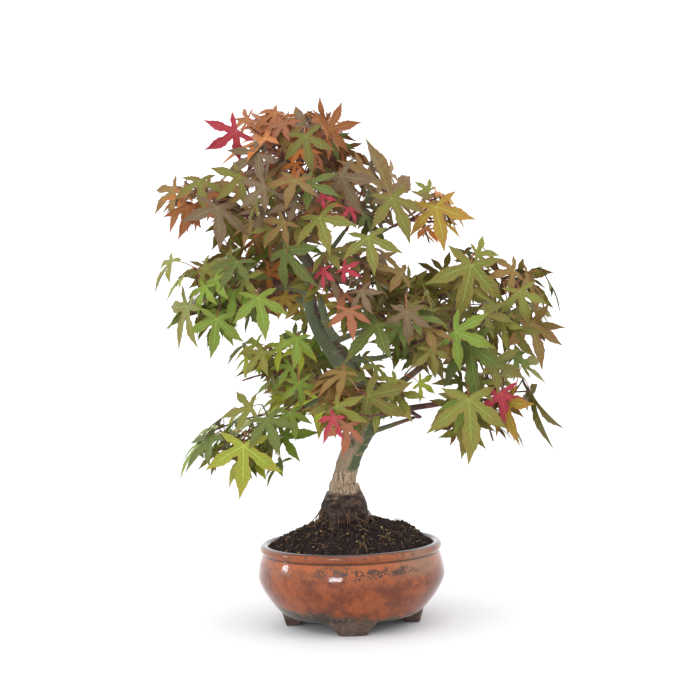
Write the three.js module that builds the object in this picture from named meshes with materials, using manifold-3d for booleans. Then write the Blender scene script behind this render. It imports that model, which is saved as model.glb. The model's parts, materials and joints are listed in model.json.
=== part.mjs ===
// Bonsai Japanese maple in a round glazed bowl on four feet.
// Millimetres, +Z up. The tree is worked out about the axis of the bowl, with the feet standing on z = 0.
// The finished group is then shifted so that the middle of its bounding box stands over the origin.
import * as THREE from "three";
import { mergeVertices } from "three/addons/utils/BufferGeometryUtils.js";
import Module from "manifold-3d";

const wasm = await Module();
wasm.setup();

// ---------------------------------------------------------------- driving dimensions

const GAP = 0.3; // clearance between neighbouring pieces
const SHORTEST_EDGE = 0.02; // shorter edges, left where thin pieces are joined, are merged

const BOWL = {
  segments: 24,
  baseRadius: 56,
  baseHeight: 9.5, // underside of the bowl, above the table
  bellyRadius: 75.2,
  bellyHeight: 39,
  neckRadius: 71.2,
  neckHeight: 57.4,
  lipRadius: 73.3,
  lipHeight: 64.8,
  lipThickness: 7,
  wall: 6,
  floor: 7,
  drainRadius: 8,
};

const FOOT = {
  topWidth: 43,
  bottomWidth: 21.5,
  topRadius: 57.5, // outer face where it leaves the bowl
  bottomRadius: 54,
  innerRadius: 43,
  sunk: 2.5, // how far the foot reaches up into the bowl
};

const SOIL = {
  seatRadius: 26, // level seat that the trunk is cut to stand on
  seatHeight: 81.3,
  rimHeight: 62,
  swell: 0.8, // below 1 the heap is rounded, above 1 it is hollow
};

// Control points of the trunk, from the cut at ground level to the tip: x, y, z, radius.
const TRUNK = [
  [-4, 0, 81.6, 19.8],
  [-4, 0, 95, 18.2],
  [-4.5, 0, 105.5, 14],
  [-4.5, 0, 112, 9.6],
  [3, -4, 136, 9],
  [16, -9, 158, 8.4],
  [19, -9, 171, 7.9],
  [10, -2, 191, 8.2],
  [-7, 5, 215, 8.1],
  [-22, 5, 240, 6.3],
  [-28, 0, 264, 5.6],
  [-26, -3, 286, 4.8],
  [-40, 0, 308, 3.9],
  [-48, 6, 334, 2.9],
  [-37, 6, 362, 1.9],
];
const ROOTS = { lobes: 5, depth: 0.13, height: 24 }; // buttress roots round the foot of the trunk
const TRUNK_SIDES = 12;
const BOUGH_SIDES = 6;
const STEPS_PER_SPAN = 1;

// Each bough leaves its parent limb at a height, bends through one point and ends in its mass.
const BOUGHS = {
  right_low: { height: 163, via: [41, -8, 169], tip: [83, -20, 175], radius: [3.4, 1.9] },
  right_front: { height: 150, via: [34, -24, 158], tip: [53, -38, 165], radius: [2.3, 1.3] },
  right_middle: { height: 209, via: [24, -6, 211], tip: [37, -14, 214], radius: [2.7, 1.6] },
  right_shoulder: { height: 183, via: [42, 2, 190], tip: [76, -4, 215], radius: [3.6, 2.2] },
  left_low: { height: 188, via: [-17, -8, 181], tip: [-34, -14, 174], radius: [3, 1.8] },
  left_middle: { height: 203, via: [-12, -6, 200], tip: [-22, -9, 197], radius: [2.3, 1.6] },
  left_up: { height: 265, via: [-43, -4, 270], tip: [-60, -8, 267], radius: [2.7, 1.6] },
  upper_left: { height: 298, via: [-48, -3, 310], tip: [-62, -5, 319], radius: [2.4, 1.5] },
  upper_front: { height: 306, via: [-41, -9, 311], tip: [-44, -18, 315], radius: [2, 1.4] },
  upper_right: { height: 280, via: [-10, -4, 298], tip: [3, -8, 314], radius: [2.7, 1.5] },
  right_spur: {
    parent: "upper_right", height: 296, via: [14, -12, 303], tip: [38, -14, 314], radius: [1.7, 1.2],
  },
  centre_front: { height: 238, via: [-13, -12, 246], tip: [-4, -24, 253], radius: [2.2, 1.4] },
  back_right: { height: 224, via: [6, 30, 231], tip: [25, 52, 236], radius: [3, 1.9] },
  back_left: { height: 251, via: [-39, 26, 263], tip: [-57, 46, 278], radius: [2.8, 1.7] },
  back_low: { height: 192, via: [5, 24, 187], tip: [-4, 48, 185], radius: [2.7, 1.6] },
  back_top: { height: 314, via: [-38, 19, 323], tip: [-32, 36, 338], radius: [2.2, 1.4] },
};

// Each mass of foliage keeps to an ellipsoid: centre and half-sizes. The seed sets how its twigs branch.
const MASSES = {
  crown_top: { limb: "trunk", centre: [-41, 0, 384], reach: [67, 58, 43], shoots: 8, seed: 30 },
  upper_left: { centre: [-99, -14, 352], reach: [59, 54, 50], shoots: 8, seed: 70 },
  upper_front: { centre: [-40, -50, 325], reach: [53, 49, 46], shoots: 7, seed: 5 },
  upper_right: { centre: [19, -10, 349], reach: [46, 54, 61], shoots: 8, seed: 16 },
  right_spur: { centre: [77, -12, 328], reach: [43, 38, 45], shoots: 5, seed: 64, leaf: 0.95 },
  left_up: { centre: [-97, -20, 263], reach: [58, 52, 50], shoots: 8, seed: 22 },
  centre_front: { centre: [7, -46, 268], reach: [50, 45, 45], shoots: 7, seed: 27 },
  right_middle: { centre: [55, -44, 232], reach: [48, 47, 48], shoots: 7, seed: 64, leaf: 1.05 },
  right_shoulder: { centre: [116, -2, 260], reach: [74, 58, 54], shoots: 9, seed: 23, leaf: 1.12 },
  right_low: { centre: [116, -26, 181], reach: [65, 54, 58], shoots: 8, seed: 36, leaf: 1.1 },
  left_middle: { centre: [-55, -14, 206], reach: [50, 47, 41], shoots: 7, seed: 38, leaf: 0.95 },
  left_low: { centre: [-83, -24, 153], reach: [63, 52, 53], shoots: 8, seed: 5, leaf: 1.1 },
  right_front: { centre: [20, -64, 182], reach: [56, 40, 42], shoots: 6, seed: 15 },
  back_left: { centre: [-84, 75, 297], reach: [74, 52, 64], shoots: 8, seed: 58 },
  back_right: { centre: [73, 82, 247], reach: [84, 54, 64], shoots: 9, seed: 38 },
  back_top: { centre: [-29, 62, 369], reach: [63, 49, 54], shoots: 7, seed: 69 },
  back_low: { centre: [-10, 88, 188], reach: [77, 49, 53], shoots: 7, seed: 41 },
};

const STEM = {
  length: 0.75, // share of the way from the bough's tip to the middle of the mass
  straight: 3, // it first runs on in the bough's own direction
  endRadius: 1.2,
  sides: 4,
};
const SHOOT = {
  rootRadius: 1.2,
  tipRadius: 0.9,
  roots: [0.3, 0.98], // stretch of the stem that shoots leave from
  spread: [0.34, 0.7], // how far out in the mass the shoots end
  nodes: [0.97, 0.5], // where along a shoot its pairs of leaves stand
  stagger: 0.04, // the second leaf of a pair stands a little lower
  scatter: 0.6,
};
const PETIOLE = { length: [12, 28], radius: 0.4, sunk: 0.05 };
const LEAF = {
  length: [32, 48], // middle lobe
  tries: 9,
  thickness: 1.2,
  droop: 0.12,
  lobes: [[-112, 0.5], [-54, 0.86], [0, 1], [54, 0.86], [112, 0.5]], // degrees from the midrib, share of length
  sinus: [0.26, 0.32, 0.32, 0.26], // depth of the cuts between the lobes
  heel: [165, 0.06], // where the blade meets its petiole
};
const SPACE_MARGIN = 0.03; // share of a mass's reach that stays free along a neighbour
const LIMB_CLEARANCE = 0.8;

const FINISH = {
  glaze: { color: 0xb05430, roughness: 0.15, metalness: 0 },
  soil: { color: 0x2a1f19, roughness: 0.95, metalness: 0 },
  bark: { color: 0x7d8068, roughness: 0.8, metalness: 0 },
  bough: { color: 0x5f4636, roughness: 0.7, metalness: 0 },
};
const FOLIAGE_COLOURS = {
  crown_top: 0xb5703c, upper_left: 0x9a6a44, upper_front: 0x6b6140, upper_right: 0x6f6a3c,
  right_spur: 0x9c8a3a, left_up: 0x6c7d36, centre_front: 0x8a5a48, right_middle: 0x66702f,
  right_shoulder: 0x667236, right_low: 0x707a38, left_middle: 0x5d8034, left_low: 0x8b9c38,
  right_front: 0x76803a, back_left: 0x66703a, back_right: 0x6a7536, back_top: 0x80643c,
  back_low: 0x5f7d34,
};

// ---------------------------------------------------------------- small tools

const vector = ([x, y, z]) => new THREE.Vector3(x, y, z);
const mix = (range, share) => THREE.MathUtils.lerp(range[0], range[1], share);
const along = (a, b, share) => new THREE.Vector3().lerpVectors(a, b, share);
const UP = new THREE.Vector3(0, 0, 1);
const AHEAD = new THREE.Vector3(0, 1, 0);

// Repeatable random numbers between 0 and 1 (the mulberry32 sequence of a whole-number seed).
function randomFrom(seed) {
  let state = seed >>> 0;
  return () => {
    state = (state + 0x6d2b79f5) >>> 0;
    let t = Math.imul(state ^ (state >>> 15), state | 1);
    t ^= t + Math.imul(t ^ (t >>> 7), t | 61);
    return ((t ^ (t >>> 14)) >>> 0) / 4294967296;
  };
}

// A closed geometry as a solid that can be joined and cut.
function solid(geometry) {
  const bare = geometry.clone();
  bare.deleteAttribute("normal");
  bare.deleteAttribute("uv");
  const merged = mergeVertices(bare, 1e-4);
  return new wasm.Manifold(
    new wasm.Mesh({
      numProp: 3,
      vertProperties: new Float32Array(merged.attributes.position.array),
      triVerts: new Uint32Array(merged.index.array),
    }),
  );
}

const join = (solids) => solids.reduce((whole, piece) => whole.add(piece));

// The largest body of a solid, with hollows, loose scraps and the shortest edges left out.
const mainBody = (whole) =>
  whole
    .simplify(SHORTEST_EDGE)
    .decompose()
    .reduce((best, body) => (body.volume() > best.volume() ? body : best));

function meshOf(name, body, finish) {
  const data = body.getMesh();
  const geometry = new THREE.BufferGeometry();
  geometry.setAttribute("position", new THREE.BufferAttribute(new Float32Array(data.vertProperties), 3));
  geometry.setIndex(new THREE.BufferAttribute(new Uint32Array(data.triVerts), 1));
  geometry.computeVertexNormals();
  const mesh = new THREE.Mesh(geometry, new THREE.MeshStandardMaterial(finish));
  mesh.name = name;
  return mesh;
}

// ---------------------------------------------------------------- bowl and soil

// A profile of [radius, height] pairs turned about the vertical axis.
function turned(profile) {
  const points = profile.map(([radius, height]) => new THREE.Vector2(radius, height));
  return solid(new THREE.LatheGeometry(points, BOWL.segments).rotateX(Math.PI / 2));
}

// Radius of the outer wall at a height: a flat-sided belly under a rounded shoulder.
function outerRadius(height) {
  const { baseRadius, baseHeight, bellyRadius, bellyHeight, neckRadius, neckHeight } = BOWL;
  if (height < bellyHeight) {
    const below = (bellyHeight - height) / (bellyHeight - baseHeight);
    return bellyRadius - (bellyRadius - baseRadius) * below ** 1.5;
  }
  const above = (height - bellyHeight) / (neckHeight - bellyHeight);
  return bellyRadius - (bellyRadius - neckRadius) * above ** 1.6;
}

// Outer wall from the bottom edge to the neck, as [radius, height] pairs set in by an inset.
function wallProfile(bottom, inset, steps) {
  return Array.from({ length: steps + 1 }, (_, i) => {
    const height = mix([bottom, BOWL.neckHeight], i / steps);
    return [outerRadius(height) - inset, height];
  });
}

function bowl() {
  const { lipRadius, lipHeight, lipThickness, baseHeight, floor, drainRadius, wall } = BOWL;
  const lip = lipThickness / 2;
  const lipArc = Array.from({ length: 5 }, (_, i) => {
    const angle = mix([-0.25, 1], i / 4) * Math.PI;
    return [lipRadius - lip + lip * Math.cos(angle), lipHeight - lip + lip * Math.sin(angle)];
  });
  const inside = wallProfile(baseHeight + floor, wall, 3).reverse();
  const profile = [
    [drainRadius, baseHeight],
    ...wallProfile(baseHeight, 0, 6),
    ...lipArc,
    ...inside,
    [drainRadius, baseHeight + floor],
    [drainRadius, baseHeight],
  ];
  return turned(profile);
}

// Four feet: a sloping ring cut down to a bracket shape at the front, back, left and right.
function feet() {
  const top = BOWL.baseHeight + FOOT.sunk;
  const ring = turned([
    [FOOT.innerRadius, 0],
    [FOOT.bottomRadius, 0],
    [FOOT.topRadius, top],
    [FOOT.innerRadius, top],
    [FOOT.innerRadius, 0],
  ]);
  const outline = new THREE.Shape()
    .moveTo(-FOOT.bottomWidth / 2, -1)
    .lineTo(FOOT.bottomWidth / 2, -1)
    .lineTo(FOOT.bottomWidth / 2, 0)
    .quadraticCurveTo(FOOT.bottomWidth / 2 + 5, top / 2, FOOT.topWidth / 2, top + 1)
    .lineTo(-FOOT.topWidth / 2, top + 1)
    .quadraticCurveTo(-FOOT.bottomWidth / 2 - 5, top / 2, -FOOT.bottomWidth / 2, 0);
  const depth = 2 * FOOT.topRadius + 10;
  const bar = new THREE.ExtrudeGeometry(outline, { depth, bevelEnabled: false, curveSegments: 4 })
    .translate(0, 0, -depth / 2)
    .rotateX(Math.PI / 2);
  const across = bar.clone().rotateZ(Math.PI / 2);
  return ring.intersect(solid(bar).add(solid(across)));
}

function soil() {
  const bottom = BOWL.baseHeight + BOWL.floor + GAP;
  const sides = wallProfile(bottom, BOWL.wall + GAP, 3);
  const rim = BOWL.lipRadius - BOWL.lipThickness - GAP;
  const heap = Array.from({ length: 5 }, (_, i) => {
    const share = i / 4;
    return [
      mix([rim, SOIL.seatRadius], share),
      mix([SOIL.rimHeight, SOIL.seatHeight], share ** SOIL.swell),
    ];
  });
  return turned([[0, bottom], ...sides, ...heap, [0, SOIL.seatHeight]]);
}

// ---------------------------------------------------------------- limbs

// A limb follows a smooth curve through its control points, and its radius changes evenly between them.
function makeLimb(points, radii, sides, lobes = null) {
  const curve = new THREE.CatmullRomCurve3(points, false, "catmullrom", 0.5);
  const spans = points.length - 1;
  const steps = spans * STEPS_PER_SPAN;
  const radiusAt = (t) => {
    const place = Math.min(t * spans, spans - 1e-9);
    const span = Math.floor(place);
    return mix([radii[span], radii[span + 1]], place - span);
  };
  const rings = Array.from({ length: steps + 1 }, (_, i) => curve.getPoint(i / steps));
  const segments = rings.slice(1).map((end, i) => ({
    start: rings[i],
    end,
    radius: Math.max(radiusAt(i / steps), radiusAt((i + 1) / steps)),
  }));
  return { points, radii, sides, curve, steps, radiusAt, segments, lobes };
}

// The solid of a limb, swollen by an allowance and lengthened by it at the tip.
function limbSolid(limb, allowance = 0) {
  const last = limb.points.length - 1;
  const points = limb.points.map((point) => point.clone());
  const ahead = points[last].clone().sub(points[last - 1]).normalize();
  points[last].addScaledVector(ahead, allowance);
  const curve = new THREE.CatmullRomCurve3(points, false, "catmullrom", 0.5);
  const span = points[last].clone().sub(points[0]).normalize();
  const reference = Math.abs(span.z) > 0.8 ? AHEAD : UP;
  const geometry = new THREE.CylinderGeometry(1, 1, 1, limb.sides, limb.steps);
  const place = geometry.attributes.position;
  const spot = new THREE.Vector3();
  for (let i = 0; i < place.count; i++) {
    spot.fromBufferAttribute(place, i);
    const t = THREE.MathUtils.clamp(spot.y + 0.5, 0, 1);
    const tangent = curve.getTangent(t);
    const side = new THREE.Vector3().crossVectors(tangent, reference).normalize();
    const out = new THREE.Vector3().crossVectors(side, tangent);
    const centre = curve.getPoint(t);
    const lobe = limb.lobes ? limb.lobes(Math.atan2(spot.z, spot.x), centre.z) : 1;
    const radius = limb.radiusAt(t) * lobe + allowance;
    centre.addScaledVector(side, spot.x * radius).addScaledVector(out, spot.z * radius);
    place.setXYZ(i, centre.x, centre.y, centre.z);
  }
  return solid(geometry);
}

// Buttress roots: the foot of the trunk swells in lobes that fade out with height.
function rootLobes(angle, height) {
  const fade = Math.max(0, 1 - (height - TRUNK[0][2]) / ROOTS.height);
  return 1 + ROOTS.depth * fade * Math.cos(ROOTS.lobes * angle);
}

// Point on a limb's axis at a height.
function axisAt(limb, height) {
  for (const { start, end } of limb.segments) {
    if (start.z <= height && height <= end.z) {
      return along(start, end, (height - start.z) / (end.z - start.z));
    }
  }
  return height < limb.points[0].z ? limb.points[0] : limb.points.at(-1);
}

const trunk = makeLimb(TRUNK.map(vector), TRUNK.map((p) => p[3]), TRUNK_SIDES, rootLobes);
const limbs = { trunk };
for (const [name, { parent = "trunk", height, via, tip, radius }] of Object.entries(BOUGHS)) {
  const points = [axisAt(limbs[parent], height), vector(via), vector(tip)];
  limbs[name] = makeLimb(points, [radius[0], mix(radius, 0.5), radius[1]], BOUGH_SIDES);
}

// ---------------------------------------------------------------- how a mass grows

for (const [name, mass] of Object.entries(MASSES)) {
  mass.name = name;
  mass.middle = vector(mass.centre);
  const from = limbs[mass.limb ?? name];
  mass.ahead = from.points.at(-1).clone().sub(from.points.at(-2)).normalize();
  mass.start = from.points.at(-1).clone().addScaledVector(mass.ahead, GAP);
  mass.heart = along(mass.start, mass.middle, STEM.length);
  mass.stem = { start: mass.start, end: mass.heart, radius: from.radii.at(-1) };
}
const masses = Object.values(MASSES);
const limbSegments = Object.values(limbs).flatMap((limb) => limb.segments);

// Distance from a mass's middle, as a share of its reach in that direction.
function shareOfReach(point, mass) {
  const away = point.clone().sub(mass.middle).divide(vector(mass.reach));
  return away.length();
}

// A point is in a mass's own space where it is inside its reach and closer to it than to its neighbours.
function inOwnSpace(point, mass) {
  const share = shareOfReach(point, mass);
  return share <= 1 && mass.neighbours.every((other) => share + SPACE_MARGIN < shareOfReach(point, other));
}

for (const mass of masses) {
  mass.neighbours = masses.filter(
    (other) =>
      other !== mass &&
      [0, 1, 2].every((i) => Math.abs(other.centre[i] - mass.centre[i]) < other.reach[i] + mass.reach[i]),
  );
  mass.limbsToClear = [...limbSegments, ...masses.filter((o) => o !== mass).map((o) => o.stem)];
}

// Shortest distance between two straight stretches.
function stretchDistance(a, b, c, d) {
  const u = b.clone().sub(a);
  const v = d.clone().sub(c);
  const r = a.clone().sub(c);
  const uu = u.dot(u);
  const vv = v.dot(v);
  const uv = u.dot(v);
  const ur = u.dot(r);
  const vr = v.dot(r);
  const clamp = (value) => THREE.MathUtils.clamp(value, 0, 1);
  const spread = uu * vv - uv * uv;
  let s = spread > 1e-9 ? clamp((uv * vr - ur * vv) / spread) : 0;
  const t = clamp((uv * s + vr) / Math.max(vv, 1e-9));
  s = clamp((uv * t - ur) / Math.max(uu, 1e-9));
  return r.addScaledVector(u, s).addScaledVector(v, -t).length();
}

const clearOfLimbs = (edges, mass) =>
  mass.limbsToClear.every(({ start, end, radius }) =>
    edges.every(([a, b]) => stretchDistance(a, b, start, end) > radius + LIMB_CLEARANCE),
  );

// Outline of a leaf's blade, from one side of its heel round the lobes to the other.
function bladeOutline({ base, midrib, normal, length }) {
  const side = new THREE.Vector3().crossVectors(midrib, normal);
  const { lobes, sinus, heel } = LEAF;
  const polar = [[-heel[0], heel[1]]];
  lobes.forEach(([angle, share], i) => {
    polar.push([angle, share]);
    if (i < sinus.length) polar.push([(angle + lobes[i + 1][0]) / 2, sinus[i]]);
  });
  polar.push(heel);
  return polar.map(([angle, share]) => {
    const turn = THREE.MathUtils.degToRad(angle);
    return base
      .clone()
      .addScaledVector(midrib, Math.cos(turn) * share * length)
      .addScaledVector(side, Math.sin(turn) * share * length)
      .addScaledVector(normal, -LEAF.droop * share * share * length);
  });
}

// The straight edges and the flat faces that stand for a leaf when it is tested against its neighbours.
function leafSkeleton(leaf) {
  const outline = bladeOutline(leaf);
  const rim = outline.slice(1).map((end, i) => [outline[i], end]);
  const ribs = [1, 3, 5, 7, 9].map((i) => [leaf.base, outline[i]]);
  const faces = rim.map(([a, b]) => [leaf.base, a, b]);
  return { outline, edges: [...rim, ...ribs, [leaf.node, leaf.base]], faces };
}

// Whether any edge passes through any face (the ends of an edge may touch one).
function crosses(edges, faces) {
  return edges.some(([start, end]) => {
    const way = end.clone().sub(start);
    return faces.some(([a, b, c]) => {
      const u = b.clone().sub(a);
      const v = c.clone().sub(a);
      const h = new THREE.Vector3().crossVectors(way, v);
      const scale = u.dot(h);
      if (Math.abs(scale) < 1e-9) return false;
      const s = start.clone().sub(a);
      const p = s.dot(h) / scale;
      const q = new THREE.Vector3().crossVectors(s, u);
      const r = way.dot(q) / scale;
      const t = v.dot(q) / scale;
      return p > 0 && r > 0 && p + r < 1 && t > 0.02 && t < 0.98;
    });
  });
}

// One leaf at a node of a shoot, or null where no try fits its space.
function growLeaf(mass, shoot, place, side, grown) {
  const random = randomFrom(mass.seed * 4096 + shoot.index * 64 + place * 16 + side + 1);
  const node = along(shoot.root, shoot.tip, SHOOT.nodes[place] - (side < 0 ? SHOOT.stagger : 0));
  const size = mass.leaf ?? 1;
  for (let attempt = 0; attempt < LEAF.tries; attempt++) {
    const draw = Array.from({ length: 8 }, random);
    const stalk = new THREE.Vector3(
      shoot.way.x * 0.5 + shoot.side[place].x * side * 0.9 + shoot.out.x * 0.5 + (draw[0] - 0.5) * 0.9,
      shoot.way.y * 0.5 + shoot.side[place].y * side * 0.9 + shoot.out.y * 0.5 + (draw[1] - 0.5) * 0.9,
      shoot.way.z * 0.5 + shoot.side[place].z * side * 0.9 + shoot.out.z * 0.5 + (draw[2] - 0.5) * 0.7 + 0.1,
    ).normalize();
    const length = mix(LEAF.length, draw[3]) * size * (place === 0 ? 1 : 0.88) * (1 - 0.05 * attempt);
    const base = node.clone().addScaledVector(stalk, mix(PETIOLE.length, draw[4]) * (1 - 0.08 * attempt));
    const normal = facing(base, draw[5], draw[6]);
    const down = UP.clone().negate().addScaledVector(normal, UP.dot(normal)).normalize();
    const midrib = stalk.addScaledVector(normal, -stalk.dot(normal));
    midrib.addScaledVector(down, 0.25 + 0.75 * draw[7]).normalize();
    const leaf = { node, base, midrib, normal, length };
    Object.assign(leaf, leafSkeleton(leaf));
    const fits =
      [base, ...leaf.outline].every((point) => inOwnSpace(point, mass)) &&
      clearOfLimbs(leaf.edges, mass) &&
      !grown.some(
        (other) =>
          other.base.distanceTo(base) < other.length + length + 10 &&
          (crosses(leaf.edges, other.faces) || crosses(other.edges, leaf.faces)),
      );
    if (fits) return leaf;
  }
  return null;
}

// A blade faces out from the trunk, to the front or to the back, and looks more or less upwards.
function facing(base, turnShare, tiltShare) {
  const axis = axisAt(trunk, base.z);
  const x = base.x - axis.x;
  const y = base.y - axis.y;
  const turn = Math.atan2(y + (y < 20 ? -45 : 45), x * 0.6) + (turnShare - 0.5) * 1.5;
  const tilt = THREE.MathUtils.degToRad(12 + 48 * tiltShare);
  return new THREE.Vector3(
    Math.cos(turn) * Math.cos(tilt),
    Math.sin(turn) * Math.cos(tilt),
    Math.sin(tilt),
  );
}

// Point on the axis of a mass's stem.
const stemPoint = (mass, share) => stemCurve(mass).getPoint(share);

function stemCurve({ start, ahead, heart }) {
  const turn = start.clone().addScaledVector(ahead, STEM.straight);
  return new THREE.CatmullRomCurve3([start, turn, heart], false, "catmullrom", 0.5);
}

// The shoots of a mass spread evenly over its space and leave its stem one after another.
function growShoots(mass) {
  const random = randomFrom(mass.seed);
  const turn = random() * 2 * Math.PI;
  const goldenAngle = Math.PI * (3 - Math.sqrt(5));
  const shoots = [];
  for (let index = 0; index < mass.shoots; index++) {
    const height = 1 - (2 * (index + 0.5)) / mass.shoots;
    const width = Math.sqrt(1 - height * height);
    const angle = turn + index * goldenAngle;
    const out = new THREE.Vector3(width * Math.cos(angle), width * Math.sin(angle), height);
    const scatter = new THREE.Vector3(random() - 0.5, random() - 0.5, random() - 0.5);
    out.addScaledVector(scatter, SHOOT.scatter).normalize();
    const spread = mix(SHOOT.spread, random());
    const spin = random() * Math.PI;
    const tip = vector(mass.reach).multiply(out).multiplyScalar(spread).add(mass.middle);
    const root = stemPoint(mass, mix(SHOOT.roots, (index + 0.5) / mass.shoots));
    const shoot = { index, root, tip, out, way: tip.clone().sub(root).normalize() };
    const flat = new THREE.Vector3().crossVectors(shoot.way, UP).normalize();
    const over = new THREE.Vector3().crossVectors(flat, shoot.way).normalize();
    shoot.side = SHOOT.nodes.map((_, place) =>
      flat
        .clone()
        .multiplyScalar(Math.cos(spin + (place * Math.PI) / 2))
        .addScaledVector(over, Math.sin(spin + (place * Math.PI) / 2)),
    );
    if (inOwnSpace(tip, mass) && clearOfLimbs([[root, tip]], mass)) shoots.push(shoot);
  }
  return shoots;
}

// Every shoot has a pair of leaves at its tip, and every third shoot a pair half way down.
function growLeaves(mass, shoots) {
  const grown = [];
  for (const shoot of shoots) {
    for (const place of shoot.index % 3 === 0 ? [0, 1] : [0]) {
      for (const side of [1, -1]) {
        const leaf = growLeaf(mass, shoot, place, side, grown);
        if (leaf) grown.push(leaf);
      }
    }
  }
  return grown;
}

// ---------------------------------------------------------------- solids of a mass

// Three points round a centre, in the plane of two directions.
function triangle(centre, radius, first, second) {
  return [0, 1, 2].map((i) => {
    const angle = (i * 2 * Math.PI) / 3;
    return centre
      .clone()
      .addScaledVector(first, Math.cos(angle) * radius)
      .addScaledVector(second, Math.sin(angle) * radius);
  });
}

// A three-sided rod between two points.
function rod(start, end, startRadius, endRadius) {
  const way = end.clone().sub(start).normalize();
  const first = new THREE.Vector3().crossVectors(way, Math.abs(way.z) > 0.8 ? AHEAD : UP).normalize();
  const second = new THREE.Vector3().crossVectors(way, first);
  const points = [...triangle(start, startRadius, first, second), ...triangle(end, endRadius, first, second)];
  const faces = [[0, 2, 1], [3, 4, 5]];
  for (const [a, b] of [[0, 1], [1, 2], [2, 0]]) faces.push([a, b, b + 3], [a, b + 3, a + 3]);
  return solid(new THREE.BufferGeometry().setFromPoints(points).setIndex(faces.flat()));
}

const twigSolid = ({ root, tip }) => rod(root, tip, SHOOT.rootRadius, SHOOT.tipRadius);

// A leaf: a blade that is thickest at its heel, on a petiole that is sunk in the twig and in the blade.
function leafSolid({ node, base, normal, outline }) {
  const top = base.clone().addScaledVector(normal, LEAF.thickness / 2);
  const bottom = base.clone().addScaledVector(normal, -LEAF.thickness / 2);
  const points = [top, bottom, ...outline];
  const [T, B, FIRST] = [0, 1, 2];
  const LAST = points.length - 1;
  const faces = [[T, FIRST, B], [T, B, LAST]];
  for (let i = FIRST; i < LAST; i++) faces.push([T, i + 1, i], [B, i, i + 1]);
  const blade = solid(new THREE.BufferGeometry().setFromPoints(points).setIndex(faces.flat()));
  return blade.add(rod(node, along(base, outline[5], PETIOLE.sunk), PETIOLE.radius, PETIOLE.radius));
}

function massSolid(mass) {
  const shoots = growShoots(mass);
  const leaves = growLeaves(mass, shoots);
  const radii = [mass.stem.radius, mass.stem.radius, STEM.endRadius];
  const stem = limbSolid(makeLimb(stemCurve(mass).points, radii, STEM.sides));
  return mainBody(join([stem, ...shoots.map(twigSolid), ...leaves.map(leafSolid)]));
}

// ---------------------------------------------------------------- assembly

const envelopes = {};
for (const [name, limb] of Object.entries(limbs)) envelopes[name] = limbSolid(limb, GAP);

const tree = new THREE.Group();
tree.add(meshOf("pot", bowl().add(feet()), FINISH.glaze));
tree.add(meshOf("soil", soil(), FINISH.soil));
tree.add(meshOf("trunk", limbSolid(trunk), FINISH.bark));
for (const [name, { parent = "trunk" }] of Object.entries(BOUGHS)) {
  const body = mainBody(limbSolid(limbs[name]).subtract(envelopes[parent]));
  tree.add(meshOf("bough_" + name, body, FINISH.bough));
}
for (const mass of masses) {
  const finish = { color: FOLIAGE_COLOURS[mass.name], roughness: 0.6, metalness: 0 };
  tree.add(meshOf("leaves_" + mass.name, massSolid(mass), finish));
}

// The middle of the bounding box stands over the origin.
const box = new THREE.Box3().setFromObject(tree, true);
tree.position.set(-(box.min.x + box.max.x) / 2, -(box.min.y + box.max.y) / 2, -box.min.z);
const root = new THREE.Group();
root.add(tree);

export default root;
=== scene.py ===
"""Looks of a bonsai Japanese maple in a round glazed bowl on four feet.

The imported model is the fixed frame. Here its bowl, soil, trunk, boughs and masses of foliage
are replaced by finer pieces. The limbs keep their places and get bark. The foliage is grown on
from them by the same rule as in the frame, carried on to finer twigs. The tree is worked out in
millimetres about the axis of the bowl.
"""

import json
import logging
import math
from dataclasses import dataclass, field
from enum import Enum
from typing import Callable, Iterable, Sequence

import bpy
import numpy as np
from mathutils import Matrix, Vector, noise

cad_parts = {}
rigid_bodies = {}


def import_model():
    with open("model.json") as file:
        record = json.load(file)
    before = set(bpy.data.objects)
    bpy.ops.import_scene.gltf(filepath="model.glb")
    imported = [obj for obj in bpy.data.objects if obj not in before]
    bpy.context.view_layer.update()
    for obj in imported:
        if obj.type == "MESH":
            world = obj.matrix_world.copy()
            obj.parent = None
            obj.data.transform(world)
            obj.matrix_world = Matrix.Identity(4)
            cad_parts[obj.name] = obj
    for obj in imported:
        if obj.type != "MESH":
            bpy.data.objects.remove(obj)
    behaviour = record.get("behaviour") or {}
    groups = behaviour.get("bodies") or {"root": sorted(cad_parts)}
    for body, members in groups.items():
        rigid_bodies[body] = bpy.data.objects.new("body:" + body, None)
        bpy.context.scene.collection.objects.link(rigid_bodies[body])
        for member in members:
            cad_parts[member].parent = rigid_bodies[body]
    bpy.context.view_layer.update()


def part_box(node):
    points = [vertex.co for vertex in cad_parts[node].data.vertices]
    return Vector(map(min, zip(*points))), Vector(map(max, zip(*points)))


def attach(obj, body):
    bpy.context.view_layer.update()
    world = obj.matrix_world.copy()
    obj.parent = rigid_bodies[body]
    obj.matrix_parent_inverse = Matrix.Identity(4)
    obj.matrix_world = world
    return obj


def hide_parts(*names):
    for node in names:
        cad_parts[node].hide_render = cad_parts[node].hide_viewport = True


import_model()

LOG = logging.getLogger("bonsai")
MM = 0.001
FULL_TURN = 2 * math.pi
TRUNK_FOOT = (-4.0, 0.0)
VIEWPOINT = (4.0, -1007.0, 218.4)
BLADE_MIDDLE = 0.45
SEEDS_PER_SHOOT = 64
SEEDS_PER_MASS = 4096
Point = tuple[float, float, float]
Pair = tuple[float, float]
Four = tuple[float, float, float, float]
Rgb = tuple[int, int, int]
Array = np.ndarray
Draw = Callable[[], float]
Obj = bpy.types.Object
Material = bpy.types.Material
Socket = bpy.types.NodeSocket


# ---------------- small tools


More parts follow.
